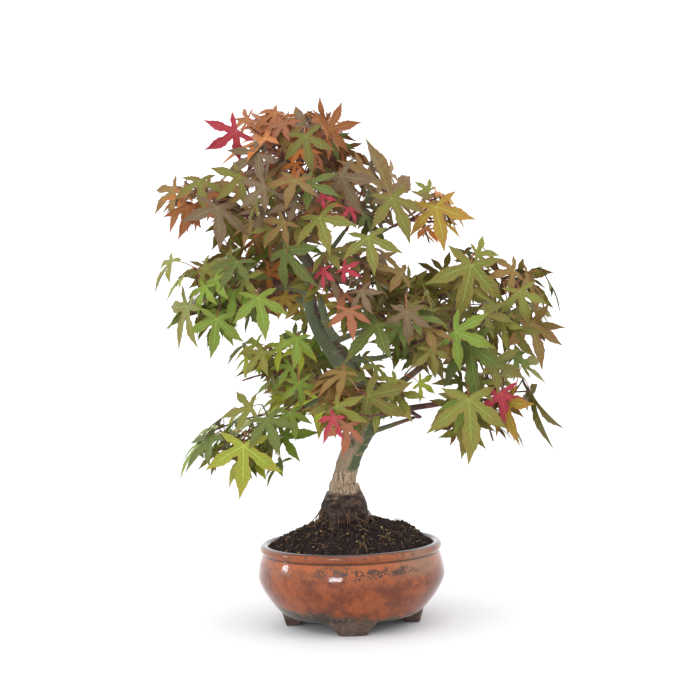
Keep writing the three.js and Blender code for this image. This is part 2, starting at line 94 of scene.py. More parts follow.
def draws(seed: int) -> Draw:
    """Makes a repeatable source of random numbers between 0 and 1.

    Args:
        seed: A whole number that sets the sequence.

    Returns:
        A function that gives the next number of the sequence.
    """
    state = seed & 0xFFFFFFFF

    def draw() -> float:
        """Gives the next number.

        Returns:
            The number, from 0 to 1.
        """
        nonlocal state
        state = (state + 0x6D2B79F5) & 0xFFFFFFFF
        t = ((state ^ (state >> 15)) * (state | 1)) & 0xFFFFFFFF
        t ^= (t + (((t ^ (t >> 7)) * (t | 61)) & 0xFFFFFFFF)) & 0xFFFFFFFF
        return ((t ^ (t >> 14)) & 0xFFFFFFFF) / 4294967296.0

    return draw


def blend(pair: Sequence[float], share: float) -> float:
    """Gives the value at a share of the way between two values."""
    return pair[0] + (pair[1] - pair[0]) * share


def unit(vector: Array) -> Array:
    """Gives a vector's direction, one unit long."""
    return vector / np.linalg.norm(vector)


def smoothed(points: Array, t: Array | float) -> Array:
    """Points on a smooth curve through control points.

    Args:
        points: Control points, one a row.
        t: Places along the curve, from 0 to 1.

    Returns:
        The points at those places.
    """
    last = len(points) - 1
    place = np.clip(np.asarray(t, float), 0, 1) * last
    i = np.minimum(place.astype(int), last - 1)
    w = (place - i)[..., None]
    padded = np.vstack([2 * points[0] - points[1], points, 2 * points[-1] - points[-2]])
    a, b, c, d = (padded[i + k] for k in range(4))
    v0, v1 = (c - a) / 2, (d - b) / 2
    return (2 * b - 2 * c + v0 + v1) * w**3 + (3 * c - 3 * b - 2 * v0 - v1) * w**2 + v0 * w + b


def linear(red: int, green: int, blue: int) -> Four:
    """Turns a colour of 0 to 255 a channel into the renderer's linear colour."""
    channels = (red, green, blue)
    return *(((c / 255 + 0.055) / 1.055) ** 2.4 if c > 10 else c / 3294 for c in channels), 1.0


def wobble(point: Sequence[float], size: float, offset: float = 0.0) -> float:
    """Smooth noise from -1 to 1 at a point, with features of about the given size."""
    return noise.noise(Vector((point[0] / size + offset, point[1] / size, point[2] / size)))


def deselect() -> None:
    """Deselects every object."""
    bpy.ops.object.select_all(action="DESELECT")


def edit_all() -> None:
    """Opens the active object for editing, with all of it selected."""
    bpy.ops.object.mode_set(mode="EDIT")
    bpy.ops.mesh.select_all(action="SELECT")


def close_up() -> None:
    """Selects all that is being edited, turns its faces outwards and ends the editing."""
    bpy.ops.mesh.select_all(action="SELECT")
    bpy.ops.mesh.normals_make_consistent(inside=False)
    bpy.ops.object.mode_set(mode="OBJECT")


def latest(name: str) -> Obj:
    """Names the object that was just made, and gives it."""
    obj = bpy.context.object
    obj.name = obj.data.name = name
    return obj


def ring(turn: float) -> Array:
    """Level direction at an angle round the upright axis."""
    return np.array([math.cos(turn), math.sin(turn), 0.0])


# ---------------- meshes


class Bench:
    """Makes, shapes and finishes mesh objects, in millimetres about the axis of the bowl."""

    weld = 0.01
    all_smooth = 180.0

    def __init__(self) -> None:
        """Finds the axis of the bowl in the frame."""
        low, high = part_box("pot")
        self.axis = np.array([(low[0] + high[0]) / 2, (low[1] + high[1]) / 2, 0.0])

    def place(self, points: Array) -> Array:
        """Turns points in millimetres about the bowl's axis into scene points in metres."""
        return np.asarray(points, float) * MM + self.axis

    @staticmethod
    def active(obj: Obj) -> None:
        """Selects one object alone and makes it the active one."""
        deselect()
        obj.select_set(True)
        bpy.context.view_layer.objects.active = obj

    def chain(self, name: str, points: Sequence[Sequence[float]]) -> Obj:
        """Extrudes one vertex from point to point into a chain of edges.

        Args:
            name: Name of the object.
            points: Points of the chain, in millimetres.

        Returns:
            The object, left in edit mode with all of it selected.
        """
        deselect()
        bpy.ops.mesh.primitive_plane_add(size=MM, location=points[0])
        obj = latest(name)
        edit_all()
        bpy.ops.mesh.merge(type="CENTER")
        for start, end in zip(points, points[1:]):
            step = [b - a for a, b in zip(start, end)]
            bpy.ops.mesh.extrude_vertices_move(TRANSFORM_OT_translate={"value": step})
        bpy.ops.mesh.select_all(action="SELECT")
        return obj

    def lathe(self, name: str, profile: Sequence[Pair], steps: int) -> Obj:
        """Spins a profile of [radius, height] points about the bowl's axis.

        Args:
            name: Name of the object.
            profile: Points of the profile; those at radius 0 close it.
            steps: Number of steps round the axis.

        Returns:
            The turned object, still in millimetres about the axis.
        """
        obj = self.chain(name, [(radius, 0.0, height) for radius, height in profile])
        bpy.ops.mesh.spin(steps=steps, angle=FULL_TURN, center=(0, 0, 0), axis=(0, 0, 1))
        bpy.ops.mesh.select_all(action="SELECT")
        bpy.ops.mesh.remove_doubles(threshold=self.weld)
        close_up()
        self.settle(obj)
        return obj

    def tube(self, name: str, sides: int, rings: int) -> Obj:
        """Extrudes a round face upwards, a ring at a time, into a straight closed tube.

        Args:
            name: Name of the object.
            sides: Number of sides.
            rings: Number of extrusions.

        Returns:
            A tube of radius 1 whose rings stand at heights 0, 1, 2 and so on.
        """
        deselect()
        bpy.ops.mesh.primitive_circle_add(
            vertices=sides, radius=1, fill_type="NGON", location=(0, 0, 0)
        )
        obj = latest(name)
        edit_all()
        for _ in range(rings):
            bpy.ops.mesh.extrude_region_move(TRANSFORM_OT_translate={"value": (0, 0, 1)})
        close_up()
        return obj

    @staticmethod
    def settle(obj: Obj) -> None:
        """Moves an object's place into its mesh, so that it sits unturned at the origin."""
        obj.data.transform(obj.matrix_world)
        obj.matrix_world = Matrix.Identity(4)

    @staticmethod
    def points(obj: Obj) -> Array:
        """Gives the vertices of an object, one a row."""
        found = np.empty(len(obj.data.vertices) * 3)
        obj.data.vertices.foreach_get("co", found)
        return found.reshape(-1, 3)

    @staticmethod
    def move(obj: Obj, points: Array) -> None:
        """Moves the vertices of an object to new points."""
        obj.data.vertices.foreach_set("co", np.asarray(points, np.float32).ravel())
        obj.data.update()

    def to_scene(self, obj: Obj, degrees: float = all_smooth) -> Obj:
        """Brings an object from millimetres about the axis to its place, shaded smooth."""
        self.move(obj, self.place(self.points(obj)))
        self.smooth(obj, degrees)
        return obj

    def from_arrays(
        self, name: str, points: Array, faces: Sequence[Sequence[int]], marks: dict[str, Array]
    ) -> Obj:
        """Makes one object of many small shapes from their points and faces.

        Args:
            name: Name of the object.
            points: Points in millimetres about the bowl's axis.
            faces: Corners of each face, as numbers of points.
            marks: Values kept on the points: "uv" has two columns, others have one.

        Returns:
            The object, in its place in the scene.
        """
        mesh = bpy.data.meshes.new(name)
        mesh.from_pydata(self.place(points).tolist(), [], [list(f) for f in faces])
        for label, values in marks.items():
            values = values.astype(np.float32)
            if label == "uv":
                corners = np.empty(len(mesh.loops), np.int32)
                mesh.loops.foreach_get("vertex_index", corners)
                layer = mesh.uv_layers.new(name="UVMap")
                layer.data.foreach_set("uv", values[corners].ravel())
            else:
                mesh.attributes.new(label, "FLOAT", "POINT").data.foreach_set("value", values)
        obj = bpy.data.objects.new(name, mesh)
        bpy.context.scene.collection.objects.link(obj)
        return obj

    def joined(self, name: str, pieces: Sequence[Obj]) -> Obj:
        """Joins objects into the first of them and names it.

        Args:
            name: New name.
            pieces: The objects.

        Returns:
            The joined object.
        """
        self.active(pieces[0])
        for piece in pieces[1:]:
            piece.select_set(True)
        bpy.ops.object.join()
        pieces[0].name = pieces[0].data.name = name
        return pieces[0]

    def smooth(self, obj: Obj, degrees: float = all_smooth) -> None:
        """Shades an object smooth across edges flatter than an angle.

        Args:
            obj: The object.
            degrees: The angle; at its full size the whole object is smoothed.
        """
        self.active(obj)
        if degrees >= self.all_smooth:
            bpy.ops.object.shade_smooth()
        else:
            bpy.ops.object.shade_smooth_by_angle(angle=math.radians(degrees))

    def modified(self, obj: Obj, kind: str, **settings: float | str) -> None:
        """Adds a modifier with its settings and applies it.

        Args:
            obj: The object.
            kind: Type of the modifier.
            settings: Its settings.
        """
        self.active(obj)
        modifier = obj.modifiers.new(kind.lower(), kind)
        for setting, value in settings.items():
            setattr(modifier, setting, value)
        bpy.ops.object.modifier_apply(modifier=modifier.name)


def sweep(path: Array, radii: Array, sides: int) -> tuple[Array, list[tuple[int, ...]]]:
    """Sweeps a ring along a path into a closed tube.

    Args:
        path: Points of the path, one a row.
        radii: Radius at each point.
        sides: Number of sides of the tube.

    Returns:
        The points and the faces of the tube.
    """
    rings = ring_frames(path)
    turns = np.arange(sides) * FULL_TURN / sides
    across, along = np.cos(turns)[:, None], np.sin(turns)[:, None]
    points = np.concatenate(
        [path[i] + radii[i] * (across * u + along * v) for i, (u, v) in enumerate(rings)]
    )
    faces: list[tuple[int, ...]] = []
    for i in range(len(path) - 1):
        for j in range(sides):
            a, b = i * sides + j, i * sides + (j + 1) % sides
            faces.append((a, b, b + sides, a + sides))
    faces.append(tuple(range(sides - 1, -1, -1)))
    faces.append(tuple(range((len(path) - 1) * sides, len(path) * sides)))
    return points, faces


def ring_frames(path: Array) -> list[tuple[Array, Array]]:
    """Gives two directions square to a path at each point, carried along without a twist.

    Args:
        path: Points of the path, one a row.

    Returns:
        The two directions at each point.
    """
    ways = np.gradient(path, axis=0)
    ways /= np.linalg.norm(ways, axis=1)[:, None]
    steep = abs(ways[0][2]) >= 0.8
    u = unit(np.cross(ways[0], (0.0, 1.0, 0.0) if steep else (0.0, 0.0, 1.0)))
    frames = []
    for way in ways:
        u = unit(u - way * np.dot(u, way))
        frames.append((u, np.cross(way, u)))
    return frames


class Heap:
    """Collects the points and faces of many small shapes for one object."""

    def __init__(self) -> None:
        """Starts empty."""
        self.points: list[Array] = []
        self.faces: list[tuple[int, ...]] = []
        self.marks: dict[str, list[Array]] = {}
        self.count = 0

    def add(self, points: Array, faces: Iterable[Sequence[int]], **marks: Array) -> None:
        """Adds one shape with the values kept on its points.

        Args:
            points: Points of the shape, one a row.
            faces: Corners of each face.
            marks: Values kept on the points, by name.
        """
        self.faces += [tuple(i + self.count for i in face) for face in faces]
        self.points.append(points)
        self.count += len(points)
        for label, values in marks.items():
            self.marks.setdefault(label, []).append(values)

    def build(self, bench: Bench, name: str) -> Obj:
        """Makes the object of all the shapes."""
        marks = {label: np.concatenate(values) for label, values in self.marks.items()}
        return bench.from_arrays(name, np.concatenate(self.points), self.faces, marks)


# ---------------- shading


class Sheet:
    """Adds and links the nodes of one material or node group."""

    def __init__(self, tree: bpy.types.NodeTree) -> None:
        """Takes the node tree to work in."""
        self.tree = tree

    def add(self, kind: str, inputs: dict | None = None, **settings: object) -> bpy.types.Node:
        """Adds a node.

        Args:
            kind: Type of the node, without the word ShaderNode.
            inputs: Values or sockets for its inputs, by name or number.
            settings: Properties of the node.

        Returns:
            The node.
        """
        node = self.tree.nodes.new("ShaderNode" + kind)
        for setting, value in settings.items():
            setattr(node, setting, value)
        for name, value in (inputs or {}).items():
            if isinstance(value, Socket):
                self.tree.links.new(value, node.inputs[name])
            else:
                node.inputs[name].default_value = value
        return node

    def mix(self, mask: Socket, first: Socket | Rgb, second: Socket | Rgb) -> Socket:
        """Mixes two colours by a mask: 0 gives the first, 1 the second."""
        first, second = (linear(*c) if isinstance(c, tuple) else c for c in (first, second))
        return self.add("Mix", {0: mask, 6: first, 7: second}, data_type="RGBA").outputs[2]

    def span(self, value: Socket, low: float, high: float, to: Pair = (0, 1)) -> Socket:
        """Spreads the stretch from low to high over a new range, smoothly and clamped."""
        inputs = {"From Min": low, "From Max": high, "To Min": to[0], "To Max": to[1]}
        inputs["Value"] = value
        return self.add("MapRange", inputs, interpolation_type="SMOOTHSTEP").outputs[0]

    def maths(self, how: str, first: Socket | float, second: Socket | float) -> Socket:
        """Works out one number from two."""
        return self.add("Math", {0: first, 1: second}, operation=how).outputs[0]

    def plus(self, first: Socket, second: Socket | float) -> Socket:
        """Sum of two numbers."""
        return self.maths("ADD", first, second)

    def minus(self, first: Socket | float, second: Socket | float) -> Socket:
        """First number less the second."""
        return self.maths("SUBTRACT", first, second)

    def times(self, first: Socket, second: Socket | float) -> Socket:
        """Product of two numbers."""
        return self.maths("MULTIPLY", first, second)

    def larger(self, first: Socket, second: Socket) -> Socket:
        """Larger of two numbers."""
        return self.maths("MAXIMUM", first, second)

    def swing(self, value: Socket, size: float) -> Socket:
        """Noise brought to swing about zero by half a size."""
        return self.times(self.minus(value, 0.5), size)

    def grain(
        self,
        coords: Socket,
        size: float,
        detail: float = 4.0,
        rough: float = 0.55,
        squeeze: Point | None = None,
    ) -> Socket:
        """Noise from 0 to 1 with features of about a size in metres, drawn out along an axis.

        Args:
            coords: Coordinates in metres.
            size: Size of the features.
            detail: Number of finer layers.
            rough: Weight of the finer layers.
            squeeze: Scale along each axis, where features are drawn out.

        Returns:
            The noise.
        """
        if squeeze:
            coords = self.add("Mapping", {"Vector": coords, "Scale": squeeze}).outputs[0]
        inputs = {"Vector": coords, "Scale": 1 / size, "Detail": detail, "Roughness": rough}
        return self.add("TexNoise", inputs).outputs[0]

    def noise(self, coords: Socket, scale: Socket, detail: float) -> Socket:
        """Noise from 0 to 1 whose scale is given by a socket."""
        return self.add("TexNoise", {"Vector": coords, "Scale": scale, "Detail": detail}).outputs[0]

    def near(self, coords: Socket, centre: Point, reach: Pair) -> Socket:
        """Mask that is 1 closer to a point than the first reach, and 0 past the second."""
        away = self.add("VectorMath", {0: coords, 1: centre}, operation="DISTANCE")
        return self.span(away.outputs["Value"], *reach, (1, 0))

    def band(self, value: Socket, rise: Pair, fall: Pair) -> Socket:
        """Mask that rises over one stretch of a value and falls over another."""
        return self.times(self.span(value, *rise), self.span(value, *fall, (1, 0)))

    def lay(self, colour: Socket, mask: Socket, share: float, tint: Rgb) -> Socket:
        """Lays a tint over a colour by a share of a mask."""
        return self.mix(self.times(mask, share), colour, tint)


class Group:
    """A node group that several materials share."""

    def __init__(
        self, name: str, inputs: dict[str, tuple[str, object]], outputs: dict[str, str]
    ) -> None:
        """Makes an empty group.

        Args:
            name: Name of the group.
            inputs: Kind of socket and start value of each input.
            outputs: Kind of socket of each output.
        """
        self.tree = bpy.data.node_groups.new(name, "ShaderNodeTree")
        new_socket = self.tree.interface.new_socket
        for label, (kind, value) in inputs.items():
            socket = new_socket(label, in_out="INPUT", socket_type="NodeSocket" + kind)
            socket.default_value = value
        for label, kind in outputs.items():
            new_socket(label, in_out="OUTPUT", socket_type="NodeSocket" + kind)
        self.sheet = Sheet(self.tree)
        self.given = self.tree.nodes.new("NodeGroupInput").outputs
        self.result = self.tree.nodes.new("NodeGroupOutput")

    def put(self, **sockets: Socket) -> None:
        """Links sockets to the group's outputs, by name with _ for a space."""
        for label, socket in sockets.items():
            self.tree.links.new(socket, self.result.inputs[label.replace("_", " ")])

    def use(self, sheet: Sheet, **inputs: object) -> dict[str, Socket]:
        """Places the group in a material, with values for its inputs, and gives its outputs.

        Args:
            sheet: The node sheet of the material.
            inputs: Values or sockets, by name with _ for a space.

        Returns:
            The outputs by name.
        """
        node = sheet.tree.nodes.new("ShaderNodeGroup")
        node.node_tree = self.tree
        for label, value in inputs.items():
            socket = node.inputs[label.replace("_", " ")]
            if isinstance(value, Socket):
                sheet.tree.links.new(value, socket)
            else:
                socket.default_value = value
        return {socket.name: socket for socket in node.outputs}


class SharedEffects:
    """Node groups that the finishes share."""

    def __init__(self) -> None:
        """Builds the groups."""
        self.relief = self.make_relief()
        self.flecks = self.make_flecks()
        self.blade = self.make_blade()

    @staticmethod
    def make_relief() -> Group:
        """Coarse and fine roughness of a surface, as a normal and a mask of its high spots.

        Returns:
            The group.
        """
        group = Group(
            "surface_relief",
            {
                "Coarse": ("Float", 200.0),
                "Fine": ("Float", 900.0),
                "Depth": ("Float", 0.0005),
                "Stretch": ("Vector", (1.0, 1.0, 1.0)),
            },
            {"Normal": "Vector", "Height": "Float"},
        )
        sheet, given = group.sheet, group.given
        coords = sheet.add("TexCoord").outputs["Object"]
        stretch = {0: coords, 1: given["Stretch"]}
        coords = sheet.add("VectorMath", stretch, operation="MULTIPLY").outputs[0]
        coarse = sheet.noise(coords, given["Coarse"], 5.0)
        fine = sheet.noise(coords, given["Fine"], 3.0)
        height = sheet.plus(sheet.times(coarse, 0.7), sheet.times(fine, 0.3))
        bump = sheet.add("Bump", {"Height": height, "Distance": given["Depth"], "Strength": 1.0})
        group.put(Normal=bump.outputs[0], Height=height)
        return group

    @staticmethod
    def make_flecks() -> Group:
        """Scattered flecks: a mask that is 1 on small irregular spots.

        Returns:
            The group.
        """
        group = Group(
            "scattered_flecks",
            {"Scale": ("Float", 600.0), "Share": ("Float", 0.3), "Patchy": ("Float", 60.0)},
            {"Flecks": "Float"},
        )
        sheet, given = group.sheet, group.given
        coords = sheet.add("TexCoord").outputs["Object"]
        spots = sheet.noise(coords, given["Scale"], 2.0)
        patch = sheet.noise(coords, given["Patchy"], 2.0)
        level = sheet.plus(spots, sheet.swing(patch, 0.5))
        edge = sheet.minus(0.78, sheet.times(given["Share"], 0.5))
        over = sheet.minus(level, edge)
        group.put(Flecks=sheet.span(over, 0.0, 0.05))
        return group

    @staticmethod
    def make_blade() -> Group:
        """Markings of a leaf's blade: veins, free edge, blotches, and the normal of its relief.

        The first UV value runs along a lobe from the heel, the second from midrib to edge.

        Returns:
            The group.
        """
        masks = {name: "Float" for name in ("Veins", "Edge", "Blotch", "Tone")}
        group = Group(
            "blade_markings", {"Vein Width": ("Float", 0.11)}, {**masks, "Normal": "Vector"}
        )
        sheet, given = group.sheet, group.given
        where = sheet.add("TexCoord").outputs
        along, across, _ = sheet.add("SeparateXYZ", {0: where["UV"]}).outputs
        width = sheet.times(given["Vein Width"], sheet.minus(1.35, along))
        midrib = sheet.span(sheet.maths("DIVIDE", across, width), 0.6, 1.2, (1, 0))
        slant = sheet.minus(along, sheet.times(across, 0.16))
        wave = sheet.maths("PINGPONG", sheet.times(slant, 8.0), 0.5)
        inside = sheet.span(across, 0.7, 1.0, (1, 0))
        side = sheet.times(sheet.span(wave, 0.06, 0.14, (0.5, 0)), inside)
        veins = sheet.larger(midrib, side)
        blotch = sheet.span(sheet.grain(where["Object"], 0.012, 3.0), 0.4, 0.62)
        tip = sheet.times(sheet.span(along, 0.35, 1.0), sheet.span(blotch, 0.0, 1.0, (0.45, 0.9)))
        edge = sheet.larger(sheet.span(across, 0.35, 1.1), tip)
        tone = sheet.add("Attribute", attribute_name="tone").outputs["Fac"]
        quilt = sheet.minus(sheet.grain(where["Object"], 0.0035, 2.0), veins)
        bump = sheet.add("Bump", {"Height": quilt, "Distance": 0.0004, "Strength": 0.6})
        group.put(Veins=veins, Edge=edge, Blotch=blotch, Tone=tone, Normal=bump.outputs[0])
        return group


class Finish:
    """A material under construction: its node sheet, its coordinates and its Principled shader."""

    def __init__(self, name: str, centre: Array, **constants: object) -> None:
        """Starts a material.

        Args:
            name: Name of the material.
            centre: Point that the pattern is centred on.
            constants: Values that are the same all over, by name with _ for a space.
        """
        self.material = bpy.data.materials.new(name)
        self.material.use_nodes = True
        self.sheet = Sheet(self.material.node_tree)
        self.shader = self.material.node_tree.nodes["Principled BSDF"]
        for label, value in constants.items():
            self.shader.inputs[label.replace("_", " ")].default_value = value
        coords = self.sheet.add("TexCoord").outputs["Object"]
        where = {"Vector": coords, "Location": tuple(-centre)}
        self.coords = self.sheet.add("Mapping", where, vector_type="POINT").outputs[0]
        self.height = self.sheet.add("SeparateXYZ", {0: self.coords}).outputs[2]

    def feed(self, **sockets: Socket) -> Material:
        """Links sockets to the shader, by name with _ for a space, and gives the material."""
        for label, socket in sockets.items():
            self.sheet.tree.links.new(socket, self.shader.inputs[label.replace("_", " ")])
        return self.material


@dataclass(frozen=True)
class Glaze:
    """Glossy red-brown glaze that breaks to orange on the shoulder and to speckled olive low down.

    Zones are heights in metres above the table, as the stretch over which a look comes or goes.
    """

    deep: Rgb = (100, 42, 14)
    warm: Rgb = (146, 70, 22)
    shoulder: Rgb = (170, 88, 36)
    olive: Rgb = (92, 80, 58)
    patch: Rgb = (134, 102, 78)
    dark: Rgb = (34, 26, 24)
    slate: Rgb = (84, 86, 92)
    hem: Pair = (0.0096, 0.0108)
    low_end: Pair = (0.0105, 0.0165)
    patch_start: Pair = (0.042, 0.049)
    shoulder_start: Pair = (0.044, 0.051)
    shoulder_end: Pair = (0.0555, 0.0575)
    pits_start: Pair = (0.045, 0.0495)
    pits_end: Pair = (0.0525, 0.056)
    # These two stretches bound a painted shade in the groove under the rolled lip.
    groove_shade_start: Pair = (0.0563, 0.0572)
    groove_shade_end: Pair = (0.0578, 0.0588)
    lip_start: Pair = (0.0588, 0.0596)
    crest_start: Pair = (0.0636, 0.0644)
    patch_place: Point = (0.056, -0.052, 0.054)
    patch_reach: Pair = (0.006, 0.036)
    specks_place: Point = (-0.05, -0.035, 0.012)
    specks_reach: Pair = (0.02, 0.075)

    def make(self, centre: Array, effects: SharedEffects) -> Material:
        """Builds the material.

        Args:
            centre: Point on the bowl's axis at the table.
            effects: The shared node groups.

        Returns:
            The material.
        """
        finish = Finish("fired_glaze", centre, IOR=1.45, Coat_Weight=0.15, Coat_Roughness=0.02)
        sheet, coords, height = finish.sheet, finish.coords, finish.height
        clouds = sheet.grain(coords, 0.028, 6.0, 0.62)
        fine = sheet.grain(coords, 0.006, 4.0, 0.6)
        grit = sheet.grain(coords, 0.0014, 2.0)
        ragged = sheet.plus(height, sheet.swing(clouds, 0.014))
        ragged = sheet.plus(ragged, sheet.swing(fine, 0.012))
        cloudy = sheet.plus(clouds, sheet.swing(fine, 0.5))
        colour = sheet.mix(sheet.span(cloudy, 0.38, 0.66), self.deep, self.warm)
        fade = sheet.span(height, *self.shoulder_end, (1, 0.4))
        shoulder = sheet.times(sheet.span(ragged, *self.shoulder_start), fade)
        colour = sheet.lay(colour, shoulder, 0.75, self.shoulder)
        # Low down the glaze runs thin, with most specks on one side.
        aside = sheet.near(coords, self.specks_place, self.specks_reach)
        low = sheet.span(sheet.minus(ragged, sheet.times(aside, 0.0055)), *self.low_end, (1, 0))
        colour = sheet.lay(colour, low, 0.9, self.olive)
        specks = effects.flecks.use(sheet, Scale=620.0, Share=0.8, Patchy=60.0)["Flecks"]
        specks = sheet.times(specks, sheet.span(aside, 0.0, 0.6, (0.35, 0.9)))
        colour = sheet.mix(sheet.times(low, specks), colour, self.dark)
        patch = sheet.near(coords, self.patch_place, self.patch_reach)
        patch = sheet.times(patch, sheet.span(cloudy, 0.34, 0.56))
        patch = sheet.times(patch, sheet.span(height, *self.patch_start))
        colour = sheet.lay(colour, patch, 0.75, self.patch)
        # Dark pits crowd below the groove, most of them in front.
        side = sheet.add("SeparateXYZ", {0: coords}).outputs[0]
        crowd = sheet.span(side, -0.05, 0.0, (0.6, 1))
        crowd = sheet.times(crowd, sheet.span(side, 0.04, 0.056, (1, 0.3)))
        pits = effects.flecks.use(sheet, Scale=820.0, Share=0.62, Patchy=110.0)["Flecks"]
        pits = sheet.times(pits, sheet.band(ragged, self.pits_start, self.pits_end))
        pits = sheet.times(pits, crowd)
        colour = sheet.lay(colour, pits, 0.9, self.dark)
        colour = sheet.mix(sheet.span(grit, 0.55, 0.75, (0, 0.3)), colour, self.shoulder)
        colour = sheet.mix(sheet.span(grit, 0.3, 0.42, (0.35, 0)), colour, self.dark)
        # Painted shade: a dark band in the groove under the rolled lip, where the roll shades the
        # wall.
        groove_shade = sheet.band(height, self.groove_shade_start, self.groove_shade_end)
        colour = sheet.lay(colour, groove_shade, 0.7, self.dark)
        lip = sheet.span(height, *self.lip_start)
        lip = sheet.times(lip, sheet.span(fine, 0.5, 0.68, (0, 0.55)))
        colour = sheet.mix(lip, colour, self.dark)
        crest = sheet.span(height, *self.crest_start)
        crest = sheet.times(crest, sheet.span(fine, 0.25, 0.45, (0.4, 1)))
        colour = sheet.lay(colour, crest, 0.85, self.slate)
        colour = sheet.mix(sheet.span(height, *self.hem, (0.9, 0)), colour, self.dark)
        worn = sheet.plus(pits, sheet.times(sheet.plus(patch, low), 0.5))
        roughness = sheet.span(worn, 0.0, 1.0, (0.07, 0.4))
        relief = effects.relief.use(sheet, Coarse=50.0, Fine=400.0, Depth=0.00016)
        return finish.feed(Base_Color=colour, Roughness=roughness, Normal=relief["Normal"])


@dataclass(frozen=True)
class RawClay:
    """Unglazed grey-brown clay of the feet."""

    body: Rgb = (84, 66, 60)
    worn: Rgb = (106, 86, 76)
    grime: Rgb = (54, 42, 38)

    def make(self, centre: Array, effects: SharedEffects) -> Material:
        """Builds the material.

        Args:
            centre: Point on the bowl's axis at the table.
            effects: The shared node groups.

        Returns:
            The material.
        """
        finish = Finish("raw_clay", centre, Roughness=0.85, IOR=1.45)
        sheet = finish.sheet
        relief = effects.relief.use(sheet, Coarse=180.0, Fine=1200.0, Depth=0.0005)
        colour = sheet.mix(sheet.span(relief["Height"], 0.4, 0.6), self.body, self.worn)
        flecks = effects.flecks.use(sheet, Scale=900.0, Share=0.45, Patchy=90.0)["Flecks"]
        colour = sheet.lay(colour, flecks, 0.6, self.grime)
        return finish.feed(Base_Color=colour, Normal=relief["Normal"])


@dataclass(frozen=True)
class Earth:
    """Dark crumbly soil, and the lighter bits in it."""

    name: str
    dark: Rgb
    light: Rgb
    roughness: float = 0.95

    def make(self, centre: Array, effects: SharedEffects) -> Material:
        """Builds the material.

        Args:
            centre: Point on the bowl's axis at the table.
            effects: The shared node groups.

        Returns:
            The material.
        """
        finish = Finish(self.name, centre, Roughness=self.roughness, IOR=1.35)
        sheet = finish.sheet
        relief = effects.relief.use(sheet, Coarse=260.0, Fine=1500.0, Depth=0.0012)
        tone = sheet.grain(finish.coords, 0.004, 4.0, 0.7)
        colour = sheet.mix(sheet.span(tone, 0.35, 0.7), self.dark, self.light)
        return finish.feed(Base_Color=colour, Normal=relief["Normal"])


@dataclass(frozen=True)
class Bark:
    """Bark in zones up the trunk: dark roots, a pale fissured collar, tan with green, and green.

    Zones are heights in metres above the table, as the stretch over which a look comes or goes.
    """

    root: Rgb = (42, 29, 27)
    root_light: Rgb = (122, 96, 78)
    collar: Rgb = (184, 158, 132)
    tan: Rgb = (156, 134, 110)
    green: Rgb = (84, 98, 66)
    upper: Rgb = (108, 116, 86)
    brown: Rgb = (90, 72, 62)
    scar: Rgb = (166, 142, 112)
    root_top: Pair = (0.094, 0.101)
    collar_start: Pair = (0.1035, 0.107)
    middle_start: Pair = (0.119, 0.1235)
    upper_start: Pair = (0.168, 0.19)
    leader_start: Pair = (0.27, 0.31)

    def make(self, centre: Array, effects: SharedEffects) -> Material:
        """Builds the material.

        Args:
            centre: Point on the bowl's axis at the table.
            effects: The shared node groups.

        Returns:
            The material.
        """
        finish = Finish("trunk_bark", centre, Roughness=0.78, IOR=1.4)
        sheet, coords, height = finish.sheet, finish.coords, finish.height
        clouds = sheet.grain(coords, 0.016, 5.0, 0.6)
        streaks = sheet.grain(coords, 0.0022, 4.0, 0.65, (1, 1, 0.16))
        rings = sheet.grain(coords, 0.003, 4.0, 0.6, (0.22, 0.22, 1))
        grain = sheet.grain(coords, 0.0012, 3.0)
        side = sheet.add("Attribute", attribute_name="side").outputs["Fac"]
        side = sheet.plus(side, sheet.swing(clouds, 3.0))
        shifted = sheet.plus(height, sheet.swing(clouds, 0.012))
        fibrous = sheet.grain(coords, 0.0034, 6.0, 0.7, (0.55, 0.55, 1))
        root = sheet.mix(sheet.span(fibrous, 0.4, 0.66), self.root, self.root_light)
        root = sheet.mix(sheet.span(height, *self.root_top, (0.55, 0)), root, self.root)
        collar = sheet.mix(sheet.span(streaks, 0.38, 0.54, (0.85, 0)), self.collar, self.brown)
        middle = sheet.mix(sheet.span(side, -0.35, 0.05), self.tan, self.green)
        middle = sheet.mix(sheet.span(streaks, 0.36, 0.48, (0.5, 0)), middle, self.brown)
        middle = sheet.mix(sheet.span(rings, 0.58, 0.66, (0, 0.7)), middle, self.scar)
        high = sheet.mix(sheet.span(side, 0.25, 0.6), self.upper, self.brown)
        high = sheet.mix(sheet.span(rings, 0.6, 0.68, (0, 0.5)), high, self.scar)
        colour = sheet.mix(sheet.span(shifted, *self.collar_start), root, collar)
        colour = sheet.mix(sheet.span(shifted, *self.middle_start), colour, middle)
        colour = sheet.mix(sheet.span(shifted, *self.upper_start), colour, high)
        colour = sheet.mix(sheet.span(height, *self.leader_start), colour, self.brown)
        colour = sheet.mix(sheet.span(grain, 0.52, 0.72, (0, 0.5)), colour, self.root)
        sizes = {"Coarse": 230.0, "Fine": 1100.0, "Depth": 0.0012, "Stretch": (1.0, 1.0, 0.45)}
        relief = effects.relief.use(sheet, **sizes)
        return finish.feed(Base_Color=colour, Normal=relief["Normal"])


